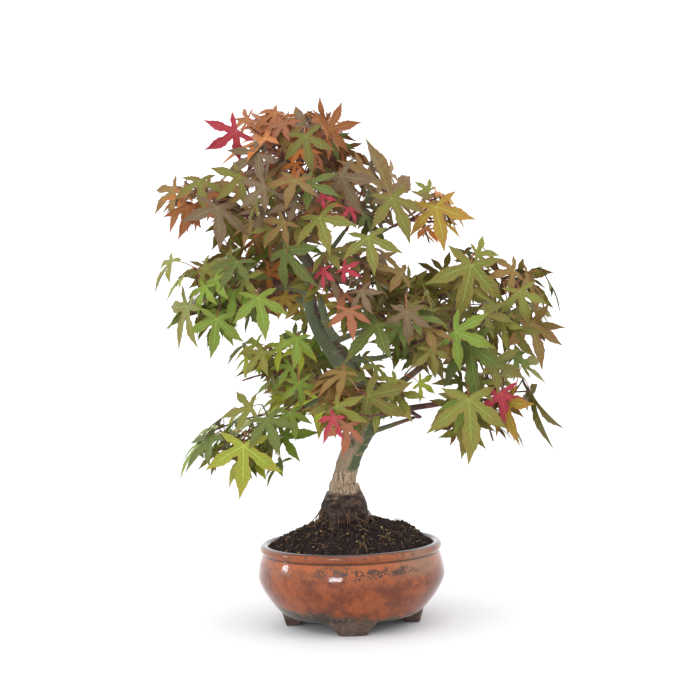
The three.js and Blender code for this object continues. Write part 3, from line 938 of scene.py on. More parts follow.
@dataclass(frozen=True)
class YoungBark:
    """Smooth thin bark of boughs, twigs or leaf stalks, green up to a distance from the axis."""

    name: str
    dark: Rgb
    light: Rgb
    green: Rgb
    roughness: float = 0.55
    green_near: Pair = (0.001, 0.002)

    def make(self, centre: Array, effects: SharedEffects) -> Material:
        """Builds the material.

        Args:
            centre: Point on the bowl's axis at the table.
            effects: The shared node groups.

        Returns:
            The material.
        """
        finish = Finish(self.name, centre, Roughness=self.roughness, IOR=1.42)
        sheet, coords = finish.sheet, finish.coords
        colour = sheet.mix(sheet.span(sheet.grain(coords, 0.01), 0.4, 0.62), self.dark, self.light)
        patches = sheet.span(sheet.grain(coords, 0.045, 2.0), 0.52, 0.64, (0, 0.7))
        flat = sheet.add("Mapping", {"Vector": coords, "Scale": (1, 1, 0)}).outputs[0]
        reach = sheet.add("VectorMath", {0: flat}, operation="LENGTH").outputs["Value"]
        patches = sheet.larger(patches, sheet.span(reach, *self.green_near, (0.85, 0)))
        colour = sheet.mix(patches, colour, self.green)
        relief = effects.relief.use(sheet, Coarse=500.0, Fine=1600.0, Depth=0.0003)
        return finish.feed(Base_Color=colour, Normal=relief["Normal"])


class Tint(Enum):
    """Tints of the leaves: blade, vein and edge colours, and the slot in the record."""

    ORANGE = ((170, 80, 34), (198, 142, 68), (146, 46, 34), "foliage_orange")
    RUST = ((136, 68, 40), (172, 122, 66), (120, 38, 36), "foliage_orange")
    GOLD = ((156, 112, 38), (182, 168, 70), (166, 74, 38), "foliage_yellow")
    BRONZE = ((108, 76, 42), (142, 126, 64), (114, 50, 38), "foliage_bronze")
    PLUM = ((94, 72, 56), (136, 122, 86), (100, 52, 48), "foliage_bronze")
    OLIVE = ((92, 86, 36), (134, 136, 64), (114, 62, 40), "foliage_olive")
    MOSS = ((98, 100, 36), (144, 150, 70), (126, 76, 42), "foliage_olive")
    GREEN = ((84, 110, 28), (140, 162, 70), (116, 96, 38), "foliage_green")
    DEEP_GREEN = ((70, 86, 34), (114, 128, 60), (92, 66, 38), "foliage_green")
    LIME = ((122, 136, 26), (174, 186, 76), (144, 102, 38), "foliage_yellow")
    CRIMSON = ((164, 32, 60), (194, 84, 86), (146, 24, 52), "foliage_red")
    CORAL = ((154, 70, 62), (146, 122, 70), (158, 42, 60), "foliage_red")

    def make(self, centre: Array, effects: SharedEffects) -> Material:
        """Builds the tint's material.

        Args:
            centre: Point on the bowl's axis at the table.
            effects: The shared node groups.

        Returns:
            The material.
        """
        blade, vein, edge, _ = self.value
        finish = Finish("blade_" + self.name.lower(), centre, IOR=1.4, Specular_IOR_Level=0.3)
        sheet = finish.sheet
        marks = effects.blade.use(sheet)
        deeper = tuple(int(c * 0.78) for c in blade)
        paler = tuple(min(255, int(c * 1.28 + 6)) for c in blade)
        colour = sheet.mix(marks["Tone"], deeper, paler)
        colour = sheet.lay(colour, marks["Blotch"], 0.35, edge)
        colour = sheet.lay(colour, marks["Edge"], 0.72, edge)
        colour = sheet.lay(colour, marks["Veins"], 0.75, vein)
        under = sheet.add("NewGeometry").outputs["Backfacing"]
        colour = sheet.lay(colour, under, 0.35, vein)
        roughness = sheet.span(marks["Blotch"], 0.0, 1.0, (0.42, 0.58))
        return finish.feed(Base_Color=colour, Roughness=roughness, Normal=marks["Normal"])


# ---------------- bowl and soil


@dataclass
class Bowl:
    """Round glazed bowl with a rolled lip on four unglazed feet."""

    base_radius: float = 56
    base_height: float = 9.5
    belly_radius: float = 75.2
    belly_height: float = 39
    neck_radius: float = 71.2
    neck_height: float = 57.4
    lip_radius: float = 73.3
    lip_height: float = 64.8
    lip_thickness: float = 7
    wall: float = 6
    floor: float = 7
    drain_radius: float = 8
    lip_turn: Pair = (-0.25, 1)
    lip_steps: int = 14
    heel: float = 9
    heel_edge: Pair = (1.2, 0.1)
    wall_start: float = 0.5
    wall_rows: tuple[int, int] = (26, 10)
    uneven: Pair = (0.35, 0.25)
    foot_width: Pair = (21.5, 43)
    foot_radius: Pair = (54, 57.5)
    foot_inner_radius: float = 43
    foot_sunk: float = 2.5
    foot_flare: float = 1.35
    foot_cuts: int = 9
    foot_edge: float = 0.9
    foot_corner: float = 40
    smooth_corner: float = 50
    steps: int = 128

    def outer_radius(self, height: float) -> float:
        """Radius of the outer wall at a height.

        Args:
            height: Height in millimetres.

        Returns:
            The radius in millimetres.
        """
        if height < self.belly_height:
            below = (self.belly_height - height) / (self.belly_height - self.base_height)
            return self.belly_radius - (self.belly_radius - self.base_radius) * below**1.5
        above = (height - self.belly_height) / (self.neck_height - self.belly_height)
        return self.belly_radius - (self.belly_radius - self.neck_radius) * above**1.6

    def wall_line(self, bottom: float, inset: float, steps: int) -> list[Pair]:
        """Outer wall from a height up to the neck, set in by an inset."""
        heights = [blend((bottom, self.neck_height), i / steps) for i in range(steps + 1)]
        return [(self.outer_radius(h) - inset, h) for h in heights]

    def build(self, bench: Bench, effects: SharedEffects) -> list[Obj]:
        """Makes the bowl and its feet.

        Args:
            bench: The mesh tools.
            effects: The shared node groups.

        Returns:
            The bowl and the feet.
        """
        glaze = Glaze().make(bench.axis, effects)
        clay = RawClay().make(bench.axis, effects)
        shell = self.shell(bench)
        dress(shell, glaze, "glaze", "pot")
        feet = self.feet(bench)
        dress(feet, clay, "glaze", "pot")
        return [shell, feet]

    def shell(self, bench: Bench) -> Obj:
        """Spins the wall, lip and floor, a little uneven, as thrown clay is.

        Args:
            bench: The mesh tools.

        Returns:
            The bowl.
        """
        half = self.lip_thickness / 2
        steps = self.lip_steps
        turns = [blend(self.lip_turn, i / steps) * math.pi for i in range(steps + 1)]
        across, up = self.lip_radius - half, self.lip_height - half
        lip = [(across + half * math.cos(a), up + half * math.sin(a)) for a in turns]
        base, floor = self.base_height, self.base_height + self.floor
        line = [(self.drain_radius, base), (self.base_radius - self.heel, base)]
        line.append((self.base_radius - self.heel_edge[0], base + self.heel_edge[1]))
        line += self.wall_line(base + self.wall_start, 0, self.wall_rows[0]) + lip
        line += self.wall_line(floor, self.wall, self.wall_rows[1])[::-1]
        line.append((self.drain_radius, floor))
        shell = bench.lathe("bowl", line + [line[0]], self.steps)
        points = bench.points(shell)
        radius = np.hypot(points[:, 0], points[:, 1])
        for i, point in enumerate(points):
            uneven = self.uneven[0] * wobble(point, 38) - self.uneven[1]
            points[i, :2] *= 1 + uneven / max(radius[i], 20)
        bench.move(shell, points)
        return bench.to_scene(shell, self.smooth_corner)

    def feet(self, bench: Bench) -> Obj:
        """Shapes one foot from a cut cube and copies it to the front, back, left and right.

        Args:
            bench: The mesh tools.

        Returns:
            The four feet as one object.
        """
        top = self.base_height + self.foot_sunk
        feet = []
        for quarter in range(4):
            deselect()
            bpy.ops.mesh.primitive_cube_add(size=2, location=(0, 0, 0))
            foot = latest("foot")
            edit_all()
            bpy.ops.mesh.subdivide(number_cuts=self.foot_cuts)
            bpy.ops.object.mode_set(mode="OBJECT")
            points = bench.points(foot)
            share = (points[:, 2] + 1) / 2
            across = points[:, 0] * blend(self.foot_width, share**self.foot_flare) / 2
            front = np.sqrt(blend(self.foot_radius, share) ** 2 - across**2)
            back = np.sqrt(self.foot_inner_radius**2 - across**2)
            deep = -blend((back, front), (1 - points[:, 1]) / 2)
            cos, sin = math.cos(quarter * math.pi / 2), math.sin(quarter * math.pi / 2)
            x, y = across * cos - deep * sin, across * sin + deep * cos
            bench.move(foot, np.column_stack([x, y, share * top]))
            edge = {"width": self.foot_edge, "segments": 3, "limit_method": "ANGLE"}
            bench.modified(foot, "BEVEL", **edge, angle_limit=math.radians(self.foot_corner))
            feet.append(foot)
        return bench.to_scene(bench.joined("bowl_feet", feet), self.foot_corner)


@dataclass
class SoilHeap:
    """Mound of dark crumbly soil with root fibres and tan bits on it."""

    bowl: Bowl
    seat_radius: float = 26
    seat_height: float = 81.3
    rim_height: float = 62
    swell: float = 0.8
    gap: float = 0.3
    settled: float = 0.7
    edge_width: float = 6
    lumps: tuple[Point, ...] = ((1.5, 0, 13), (0.9, 3, 5), (0.5, 9, 2))
    clod: Four = (46, 30, 17, 5.5)
    above: float = 100.0
    crumbs: int = 3000
    crumb_size: Pair = (0.6, 1.7)
    bits: int = 130
    bit_size: Pair = (0.6, 1.5)
    fibres: int = 190
    fibre_length: Pair = (4, 17)
    fibre_lift: Pair = (0.2, 2.2)
    fibre_radius: Pair = (0.14, 0.34)
    rootlets: int = 46
    rootlet_top: Pair = (83, 93)
    rootlet_out: Pair = (16.5, 18)
    rootlet_reach: Pair = (21, 29)
    rootlet_radius: Pair = (0.22, 0.6)

    def rim(self) -> float:
        """Radius of the soil where it meets the lip."""
        return self.bowl.lip_radius - self.bowl.lip_thickness - self.gap

    def height(self, x: float, y: float) -> float:
        """Height of the mound at a point, lumps and the clod at the back right included.

        Args:
            x: Distance to the right of the axis.
            y: Distance behind the axis.

        Returns:
            The height in millimetres.
        """
        radius = math.hypot(x, y)
        share = min(max((self.rim() - radius) / (self.rim() - self.seat_radius), 0), 1)
        smooth = blend((self.rim_height, self.seat_height), share**self.swell)
        inner = min(1.0, max(0.0, self.rim() - radius) / self.edge_width)
        lumps = sum(high * wobble((x, y, level), wide) for high, level, wide in self.lumps)
        clod_x, clod_y, wide, high = self.clod
        clod = high * max(0.0, 1 - math.hypot(x - clod_x, y - clod_y) / wide) ** 0.7
        return smooth + (lumps + clod) * inner - self.settled

    def build(self, bench: Bench, effects: SharedEffects) -> list[Obj]:
        """Makes the mound and what lies on it, and gives the pieces.

        Args:
            bench: The mesh tools.
            effects: The shared node groups.

        Returns:
            The pieces.
        """
        mound = self.mound(bench)
        loose = self.loose_crumbs(bench, "soil_crumbs", self.crumbs, self.crumb_size, 11)
        bits = self.loose_crumbs(bench, "bark_bits", self.bits, self.bit_size, 12)
        fibres = self.root_fibres(bench)
        finishes = (
            (mound, Earth("dark_soil", (24, 19, 18), (52, 40, 36)), ("soil",)),
            (loose, Earth("soil_crumbs", (26, 20, 19), (70, 52, 44)), ()),
            (bits, Earth("bark_bits", (112, 84, 52), (168, 140, 92), 0.85), ()),
            (fibres, Earth("root_fibres", (116, 84, 58), (176, 140, 100), 0.8), ()),
        )
        for piece, earth, nodes in finishes:
            dress(piece, earth.make(bench.axis, effects), "soil", *nodes)
        return [mound, loose, bits, fibres]

    def mound(self, bench: Bench) -> Obj:
        """Spins the filled body of the soil and roughens its top.

        Args:
            bench: The mesh tools.

        Returns:
            The mound.
        """
        bottom = self.bowl.base_height + self.bowl.floor + self.gap
        sides = self.bowl.wall_line(bottom, self.bowl.wall + self.gap, 6)
        top = [(blend((self.rim(), 1.0), i / 44), self.above) for i in range(45)]
        line = [(0.0, bottom)] + sides + top + [(0.0, self.above)]
        mound = bench.lathe("soil_heap", line, 150)
        points = bench.points(mound)
        for i in np.flatnonzero(points[:, 2] > self.above - 10):
            points[i, 2] = self.height(points[i, 0], points[i, 1])
        bench.move(mound, points)
        return bench.to_scene(mound)

    def spot(self, draw: Draw, inner: float = 10.0) -> Point:
        """Gives a random point on the mound, between an inner radius and the rim.

        Args:
            draw: Source of random numbers.
            inner: Inner radius.

        Returns:
            The point.
        """
        radius = math.sqrt(blend((inner**2, (self.rim() - 2) ** 2), draw()))
        turn = draw() * FULL_TURN
        x, y = radius * math.cos(turn), radius * math.sin(turn)
        return x, y, self.height(x, y)

    def loose_crumbs(self, bench: Bench, name: str, count: int, size: Pair, seed: int) -> Obj:
        """Scatters angular crumbs over the mound.

        Args:
            bench: The mesh tools.
            name: Name of the piece.
            count: Number of crumbs.
            size: Smallest and largest half-width, in millimetres.
            seed: Seed of the scatter.

        Returns:
            One object of all the crumbs.
        """
        deselect()
        bpy.ops.mesh.primitive_ico_sphere_add(subdivisions=1, radius=1)
        pattern = bpy.context.object
        ball = bench.points(pattern)
        faces = [tuple(p.vertices) for p in pattern.data.polygons]
        bpy.data.objects.remove(pattern)
        draw = draws(seed)
        heap = Heap()
        for _ in range(count):
            x, y, z = self.spot(draw)
            radius = blend(size, draw() ** 2)
            shape = np.array([blend((0.6, 1.3), draw()) for _ in range(3)]) * radius
            dents = np.array([wobble(p + draw(), 0.9, i) for i, p in enumerate(ball)])
            points = ball * shape + radius * 0.3 * dents[:, None]
            turn = Matrix.Rotation(draw() * 6.3, 3, "Z") @ Matrix.Rotation(draw() * 3, 3, "X")
            points = points @ np.array(turn).T
            heap.add(points + [x, y, z + radius * 0.25], faces)
        return heap.build(bench, name)

    def root_fibres(self, bench: Bench) -> Obj:
        """Lays thin curved fibres over the mound and hangs rootlets from the trunk's foot.

        Args:
            bench: The mesh tools.

        Returns:
            One object of all the fibres.
        """
        draw = draws(21)
        heap = Heap()
        count = 8
        for _ in range(self.fibres):
            x, y, _ = self.spot(draw, 16)
            turn = draw() * FULL_TURN
            length = blend(self.fibre_length, draw() ** 1.5)
            curl = (draw() - 0.5) * 3
            lift = blend(self.fibre_lift, draw() ** 2)
            path = []
            for i in range(count):
                share = i / (count - 1)
                z = self.height(x, y) + 0.35 + lift * math.sin(share * math.pi)
                path.append((x, y, z))
                x += math.cos(turn + curl * share) * length / (count - 1)
                y += math.sin(turn + curl * share) * length / (count - 1)
            if math.hypot(x, y) < self.rim() - 1:
                radii = blend(self.fibre_radius, draw()) * np.linspace(1, 0.5, count)
                heap.add(*sweep(np.array(path), radii, 4))
        t = np.linspace(0, 1, 9)
        for _ in range(self.rootlets):
            out = ring(draw() * FULL_TURN)
            sway = np.array([-out[1], out[0], 0.0]) * (draw() - 0.5) * 16
            top = np.array([*TRUNK_FOOT, blend(self.rootlet_top, draw())])
            top = top + out * blend(self.rootlet_out, draw())
            foot = np.array([*TRUNK_FOOT, 0.0]) + out * blend(self.rootlet_reach, draw()) + sway
            foot[2] = self.height(foot[0], foot[1])
            bow = np.outer(np.sin(t * math.pi), out * 1.5 + sway * 0.3)
            path = top + np.outer(t, foot - top) + bow
            thick = blend(self.rootlet_radius, draw() ** 2)
            heap.add(*sweep(path, np.linspace(thick, 0.14, 9), 5))
        fibres = heap.build(bench, "root_fibres")
        bench.smooth(fibres)
        return fibres


# ---------------- limbs


class Limb:
    """A limb on a smooth curve through its control points."""

    def __init__(self, points: Sequence[Sequence[float]], radii: Sequence[float]) -> None:
        """Takes the control points and the radius at each.

        Args:
            points: The control points.
            radii: Radius at each point.
        """
        self.points = np.array(points, float)
        self.radii = np.array(radii, float)
        spans = len(points) - 1
        self.rings = smoothed(self.points, np.arange(spans + 1) / spans)
        ends = zip(self.rings, self.rings[1:], self.radii, self.radii[1:])
        self.stretches = [(start, end, max(*radii)) for start, end, *radii in ends]

    def radius(self, t: Array) -> Array:
        """Radius at places along the limb, from 0 to 1."""
        places = np.arange(len(self.radii))
        return np.interp(np.asarray(t) * places[-1], places, self.radii)

    def at_height(self, height: float) -> Array:
        """Point on the limb's axis at a height.

        Args:
            height: Height in millimetres.

        Returns:
            The point.
        """
        for start, end, _ in self.stretches:
            if start[2] <= height <= end[2]:
                return start + (end - start) * (height - start[2]) / (end[2] - start[2])
        return self.points[0] if height < self.points[0][2] else self.points[-1]


@dataclass(frozen=True)
class BoughPlan:
    """Where a bough leaves its parent, bends and ends, and its radius at both ends."""

    height: float
    via: Point
    tip: Point
    radius: Pair
    parent: str = "trunk"


BOUGHS: dict[str, BoughPlan] = {
    "right_low": BoughPlan(163, (41, -8, 169), (83, -20, 175), (3.4, 1.9)),
    "right_front": BoughPlan(150, (34, -24, 158), (53, -38, 165), (2.3, 1.3)),
    "right_middle": BoughPlan(209, (24, -6, 211), (37, -14, 214), (2.7, 1.6)),
    "right_shoulder": BoughPlan(183, (42, 2, 190), (76, -4, 215), (3.6, 2.2)),
    "left_low": BoughPlan(188, (-17, -8, 181), (-34, -14, 174), (3, 1.8)),
    "left_middle": BoughPlan(203, (-12, -6, 200), (-22, -9, 197), (2.3, 1.6)),
    "left_up": BoughPlan(265, (-43, -4, 270), (-60, -8, 267), (2.7, 1.6)),
    "upper_left": BoughPlan(298, (-48, -3, 310), (-62, -5, 319), (2.4, 1.5)),
    "upper_front": BoughPlan(306, (-41, -9, 311), (-44, -18, 315), (2, 1.4)),
    "upper_right": BoughPlan(280, (-10, -4, 298), (3, -8, 314), (2.7, 1.5)),
    "right_spur": BoughPlan(296, (14, -12, 303), (38, -14, 314), (1.7, 1.2), "upper_right"),
    "centre_front": BoughPlan(238, (-13, -12, 246), (-4, -24, 253), (2.2, 1.4)),
    "back_right": BoughPlan(224, (6, 30, 231), (25, 52, 236), (3, 1.9)),
    "back_left": BoughPlan(251, (-39, 26, 263), (-57, 46, 278), (2.8, 1.7)),
    "back_low": BoughPlan(192, (5, 24, 187), (-4, 48, 185), (2.7, 1.6)),
    "back_top": BoughPlan(314, (-38, 19, 323), (-32, 36, 338), (2.2, 1.4)),
}


@dataclass
class Limbs:
    """The trunk with its buttress roots, and the main boughs."""

    trunk_line: tuple[Four, ...] = (
        (-4, 0, 81.6, 19.8),
        (-4, 0, 95, 18.2),
        (-4.5, 0, 105.5, 14),
        (-4.5, 0, 112, 9.6),
        (3, -4, 136, 9),
        (16, -9, 158, 8.4),
        (19, -9, 171, 7.9),
        (10, -2, 191, 8.2),
        (-7, 5, 215, 8.1),
        (-22, 5, 240, 6.3),
        (-28, 0, 264, 5.6),
        (-26, -3, 286, 4.8),
        (-40, 0, 308, 3.9),
        (-48, 6, 334, 2.9),
        (-37, 6, 362, 1.9),
    )
    root_lobes: int = 5
    root_depth: float = 0.13
    root_fade: float = 24
    trunk_sides: int = 60
    trunk_rings: int = 300
    bough_sides: int = 12
    bough_rings: int = 30
    rough: float = 0.22
    root_zone: Pair = (104, 9)
    collar: Pair = (112, 6)
    node_heights: tuple[float, ...] = (119, 127, 141, 152, 179, 199, 226)
    node_sizes: tuple[float, ...] = (0.5, 0.35, 0.5, 0.45, 0.6, 0.5, 0.55)
    roots: int = 11
    root_reach: Pair = (23, 33)
    root_top: Pair = (86, 101)
    root_radius: Pair = (1.7, 4.6)
    root_end: float = 1.1
    stubs: tuple[tuple[Point, Point, Point, float], ...] = (
        ((-8, -4, 228), (-14, -12, 240), (-19, -14, 262), 3.6),
        ((17, -15, 166), (20, -20, 169), (22, -23, 172), 3.2),
        ((4, -10, 141), (2, -15, 144), (1, -17, 147), 2.4),
        ((4, 6, 205), (9, 8, 209), (12, 9, 212), 3.0),
    )

    def grow(self) -> dict[str, Limb]:
        """Works out the course of the trunk and of each bough.

        Returns:
            The limbs by name, parents before their children.
        """
        limbs = {"trunk": Limb([p[:3] for p in self.trunk_line], [p[3] for p in self.trunk_line])}
        for name, plan in BOUGHS.items():
            start = limbs[plan.parent].at_height(plan.height)
            radii = [plan.radius[0], sum(plan.radius) / 2, plan.radius[1]]
            limbs[name] = Limb([start, plan.via, plan.tip], radii)
        return limbs

    def build(self, bench: Bench, effects: SharedEffects, limbs: dict[str, Limb]) -> list[Obj]:
        """Makes the trunk and the boughs, and gives the two pieces.

        Args:
            bench: The mesh tools.
            effects: The shared node groups.
            limbs: The trunk and the boughs.

        Returns:
            The two pieces.
        """
        trunk = self.trunk(bench, limbs["trunk"])
        dress(trunk, Bark().make(bench.axis, effects), "bark", "trunk")
        tints = (74, 38, 36), (122, 78, 66), (98, 108, 72)
        young = YoungBark("bough_bark", *tints, green_near=(0.034, 0.064))
        boughs = self.all_boughs(bench, limbs)
        names = ["bough_" + name for name in BOUGHS]
        dress(boughs, young.make(bench.axis, effects), "bough_bark", *names)
        return [trunk, boughs]

    def swell(self, point: Array, turn: float) -> float:
        """How far the trunk's bark stands out from its plain radius, in millimetres.

        Args:
            point: Point on the plain surface.
            turn: Angle round the trunk's axis.

        Returns:
            The height of the relief, negative in cracks and hollows.
        """
        z = point[2]
        low = min(max((self.root_zone[0] - z) / self.root_zone[1], 0), 1)
        collar = math.exp(-(((z - self.collar[0]) / self.collar[1]) ** 2))
        lumps = 0.45 * wobble(point, 9) + 0.22 * wobble(point, 3.5)
        cos, sin = math.cos(turn), math.sin(turn)
        furrow = noise.noise(Vector((cos * 3.2, sin * 3.2, z / 16)))
        crack = noise.noise(Vector((cos * 7, sin * 7, z / 14 + 5)))
        hollow = max(0.0, wobble(point, 6, 4.0) - 0.16)
        roots = 1.3 * furrow + 1.5 * wobble(point, 4) + 0.7 * wobble(point, 1.8)
        roots = low * (roots - 9.0 * hollow * low)
        fissures = (1.1 * collar + 0.5 * low) * crack
        rings = 0.0
        for height, size in zip(self.node_heights, self.node_sizes):
            away = z - height - 1.5 * math.sin(turn + height)
            rings += size * math.exp(-((away / 1.2) ** 2))
        return lumps + roots + fissures + rings * (1 - low)

    def trunk(self, bench: Bench, limb: Limb) -> Obj:
        """Extrudes a tube, bends it along the trunk's course and works bark and roots into it.

        Args:
            bench: The mesh tools.
            limb: The trunk's course.

        Returns:
            The trunk.
        """
        trunk = bench.tube("trunk_with_roots", self.trunk_sides, self.trunk_rings)
        points = bench.points(trunk)
        levels = np.arange(self.trunk_rings + 1) / self.trunk_rings
        path = smoothed(limb.points, levels)
        rings = ring_frames(path)
        radii = limb.radius(levels)
        facing = np.zeros(len(points), np.float32)
        for i, (x, y, level) in enumerate(points):
            k = int(round(level))
            u, v = rings[k]
            turn = math.atan2(y, x)
            fade = max(0.0, 1 - (path[k][2] - self.trunk_line[0][2]) / self.root_fade)
            radius = radii[k] * (1 + self.root_depth * fade * math.cos(self.root_lobes * turn))
            out = u * math.cos(turn) + v * math.sin(turn)
            plain = path[k] + out * radius
            scale = min(1.0, radii[k] / 6)
            points[i] = plain + out * (self.swell(plain, turn) * scale - 0.2)
            if level == self.trunk_rings:
                points[i] = path[k] + out * radius * 0.4
            facing[i] = out[0]
        bench.move(trunk, points)
        trunk.data.attributes.new("side", "FLOAT", "POINT").data.foreach_set("value", facing)
        pieces = [trunk, *self.buttress_roots(bench), *self.knots(bench)]
        return bench.to_scene(bench.joined("trunk_with_roots", pieces))

    def buttress_roots(self, bench: Bench) -> list[Obj]:
        """Extrudes roots that leave the foot of the trunk and dive into the soil.

        Args:
            bench: The mesh tools.

        Returns:
            The roots.
        """
        draw = draws(5)
        made = []
        for index in range(self.roots):
            turn = index * FULL_TURN / self.roots + (draw() - 0.5) * 0.5
            out = ring(turn)
            side = np.array([-out[1], out[0], 0.0])
            reach = blend(self.root_reach, draw())
            top = blend(self.root_top, draw())
            bend = (draw() - 0.5) * 15
            course = (top, 10, 0), (top - 6, 16.5, 0.3), (83, reach - 7, 0.8), (77.5, reach + 2, 1)
            line = [np.array([*TRUNK_FOOT, z]) + out * r + side * bend * b for z, r, b in course]
            radii = (blend(self.root_radius, draw() ** 1.3), self.root_end)
            made.append(self.bent_tube(bench, "root", np.array(line), radii, (12, 26), 0.9))
        return made

    def knots(self, bench: Bench) -> list[Obj]:
        """Extrudes the stubs of cut branches on the trunk.

        Args:
            bench: The mesh tools.

        Returns:
            The stubs.
        """
        made = []
        for *line, radius in self.stubs:
            radii = (radius, radius * 0.72)
            made.append(self.bent_tube(bench, "stub", np.array(line, float), radii, (14, 12), 0.35))
        return made

    def all_boughs(self, bench: Bench, limbs: dict[str, Limb]) -> Obj:
        """Extrudes each bough, swollen where it leaves its parent and at its nodes.

        Args:
            bench: The mesh tools.
            limbs: The trunk and the boughs.

        Returns:
            One object of all the boughs.
        """
        grid = (self.bough_sides, self.bough_rings)
        made = []
        for name in BOUGHS:
            limb = limbs[name]
            radii = (limb.radii[0], limb.radii[-1])
            made.append(self.bent_tube(bench, name, limb.points, radii, grid, self.rough))
        return bench.to_scene(bench.joined("boughs", made))

    @staticmethod
    def bent_tube(
        bench: Bench, name: str, line: Array, radius: Pair, grid: tuple[int, int], rough: float
    ) -> Obj:
        """Extrudes a tube and bends it along a smooth line, with nodes and an uneven surface.

        Args:
            bench: The mesh tools.
            name: Name of the object.
            line: Control points of the line.
            radius: Radius at the start and at the end.
            grid: Number of sides and of extrusions.
            rough: Height of the unevenness, in millimetres.

        Returns:
            The tube, in millimetres about the bowl's axis.
        """
        sides, rings = grid
        tube = bench.tube(name, sides, rings)
        points = bench.points(tube)
        levels = np.arange(rings + 1) / rings
        path = smoothed(line, levels)
        frames = ring_frames(path)
        for i, (x, y, level) in enumerate(points):
            k = int(round(level))
            share = k / rings
            u, v = frames[k]
            out = u * x + v * y
            node = 0.14 * math.exp(-((((share * 4.3) % 1) - 0.5) / 0.07) ** 2)
            collar = 0.5 * math.exp(-share * 12)
            thick = blend(radius, share) * (1 + node + collar * 0.4)
            spot = path[k] + out * thick * (0.55 if k == rings else 1)
            points[i] = spot + out * rough * wobble(spot, 3.2)
        bench.move(tube, points)
        return tube


# ---------------- foliage


@dataclass(frozen=True)
class MassPlan:
    """The space of a mass of foliage, how its twigs branch, and the tints of its sprays."""

    centre: Point
    reach: Point
    shoots: int
    seed: int
    tints: str
    leaf: float = 1.0
    limb: str = ""
    finer: int = 70


@dataclass
class Shoot:
    """A leafy twig: its ends, its outward way and the sides that its pairs of leaves stand on."""

    index: int
    root: Array
    tip: Array
    out: Array
    way: Array
    side: list[Array]


@dataclass
class Leaf:
    """A leaf: its node, the heel of its blade, two directions, its length and its tint."""

    node: Array
    base: Array
    midrib: Array
    normal: Array
    length: float
    edges: Array
    faces: Array
    seed: int
    tint: Tint = Tint.OLIVE

    def crosses(self, other: "Leaf") -> bool:
        """Whether the two leaves cross."""
        return crosses(self.edges, other.faces) or crosses(other.edges, self.faces)


@dataclass(frozen=True)
class LeafShape:
    """Sizes of a leaf, as degrees from the midrib and shares of the leaf's length."""

    length: Pair = (32, 48)
    petiole: Pair = (12, 28)
    tries: int = 9
    droop: float = 0.12
    lobes: tuple[Pair, ...] = ((-112, 0.5), (-54, 0.86), (0, 1), (54, 0.86), (112, 0.5))
    sinus: tuple[float, ...] = (0.26, 0.32, 0.32, 0.26)
    heel: Pair = (165, 0.06)
    notches: tuple[float, ...] = (0.165, 0.205, 0.205, 0.165)
    ribs: tuple[float, ...] = (0.3, 0.46, 0.62)
    margin: tuple[tuple[Pair, ...], ...] = (
        ((0.3, 0.105),),
        ((0.335, 0.096), (0.46, 0.152)),
        ((0.495, 0.136), (0.62, 0.143)),
        ((0.65, 0.118), (0.765, 0.086), (0.79, 0.062)),
    )
    short_lobe: float = 0.7
    short_ribs: tuple[float, ...] = (0.42,)
    short_margin: tuple[tuple[Pair, ...], ...] = (((0.36, 0.13),), ((0.42, 0.12), (0.62, 0.14)))
    lobe_turn: float = 9
    lobe_size: Pair = (0.93, 1.04)
    lobe_bend: float = 12
    fold: Pair = (0.1, 0.5)
    curl: Pair = (0.0, 0.22)
    curl_start: float = 0.45
    wave: float = 0.12

    def leaf(
        self, node: Array, base: Array, midrib: Array, normal: Array, length: float, seed: int
    ) -> Leaf:
        """Makes a leaf, with the plain edges and faces that tell whether leaves cross.

        Args:
            node: Point that the stalk grows from.
            base: Heel of the blade.
            midrib: Direction of the midrib.
            normal: Direction that the blade faces.
            length: Length of the middle lobe.
            seed: Seed of the leaf.

        Returns:
            The leaf.
        """
        outline = self.outline(base, midrib, normal, length)
        rim = list(zip(outline, outline[1:]))
        edges = rim + [(base, tip) for tip in outline[1:-1:2]] + [(node, base)]
        faces = np.array([(base, a, b) for a, b in rim])
        return Leaf(node, base, midrib, normal, length, np.array(edges), faces, seed)

    def outline(self, base: Array, midrib: Array, normal: Array, length: float) -> Array:
        """Corners of the blade from one side of the heel round the lobes to the other.

        Args:
            base: Heel of the blade.
            midrib: Direction of the midrib.
            normal: Direction that the blade faces.
            length: Length of the middle lobe.

        Returns:
            The corners, one a row.
        """
        corners = [(-self.heel[0], self.heel[1])]
        for i, (angle, share) in enumerate(self.lobes):
            corners.append((angle, share))
            if i < len(self.sinus):
                corners.append(((angle + self.lobes[i + 1][0]) / 2, self.sinus[i]))
        corners.append(self.heel)
        turn, share = np.radians([c[0] for c in corners]), np.array([c[1] for c in corners])
        side = np.cross(midrib, normal)
        return (
            base
            + np.outer(np.cos(turn) * share * length, midrib)
            + np.outer(np.sin(turn) * share * length, side)
            - np.outer(self.droop * share**2 * length, normal)
        )


def crosses(edges: Array, faces: Array) -> bool:
    """Whether any edge passes through any three-cornered face.

    Args:
        edges: Ends of each edge.
        faces: Corners of each face.

    Returns:
        Whether one does.
    """
    a = faces[None, :, 0]
    u, v = faces[None, :, 1] - a, faces[None, :, 2] - a
    start = edges[:, None, 0]
    way = edges[:, None, 1] - start
    h = np.cross(way, v)
    scale = (u * h).sum(-1)
    flat = np.abs(scale) < 1e-9
    scale = np.where(flat, 1.0, scale)
    s = start - a
    q = np.cross(s, u)
    p, r, t = (s * h).sum(-1) / scale, (way * q).sum(-1) / scale, (v * q).sum(-1) / scale
    return bool(((p > 0) & (r > 0) & (p + r < 1) & (t > 0.02) & (t < 0.98) & ~flat).any())


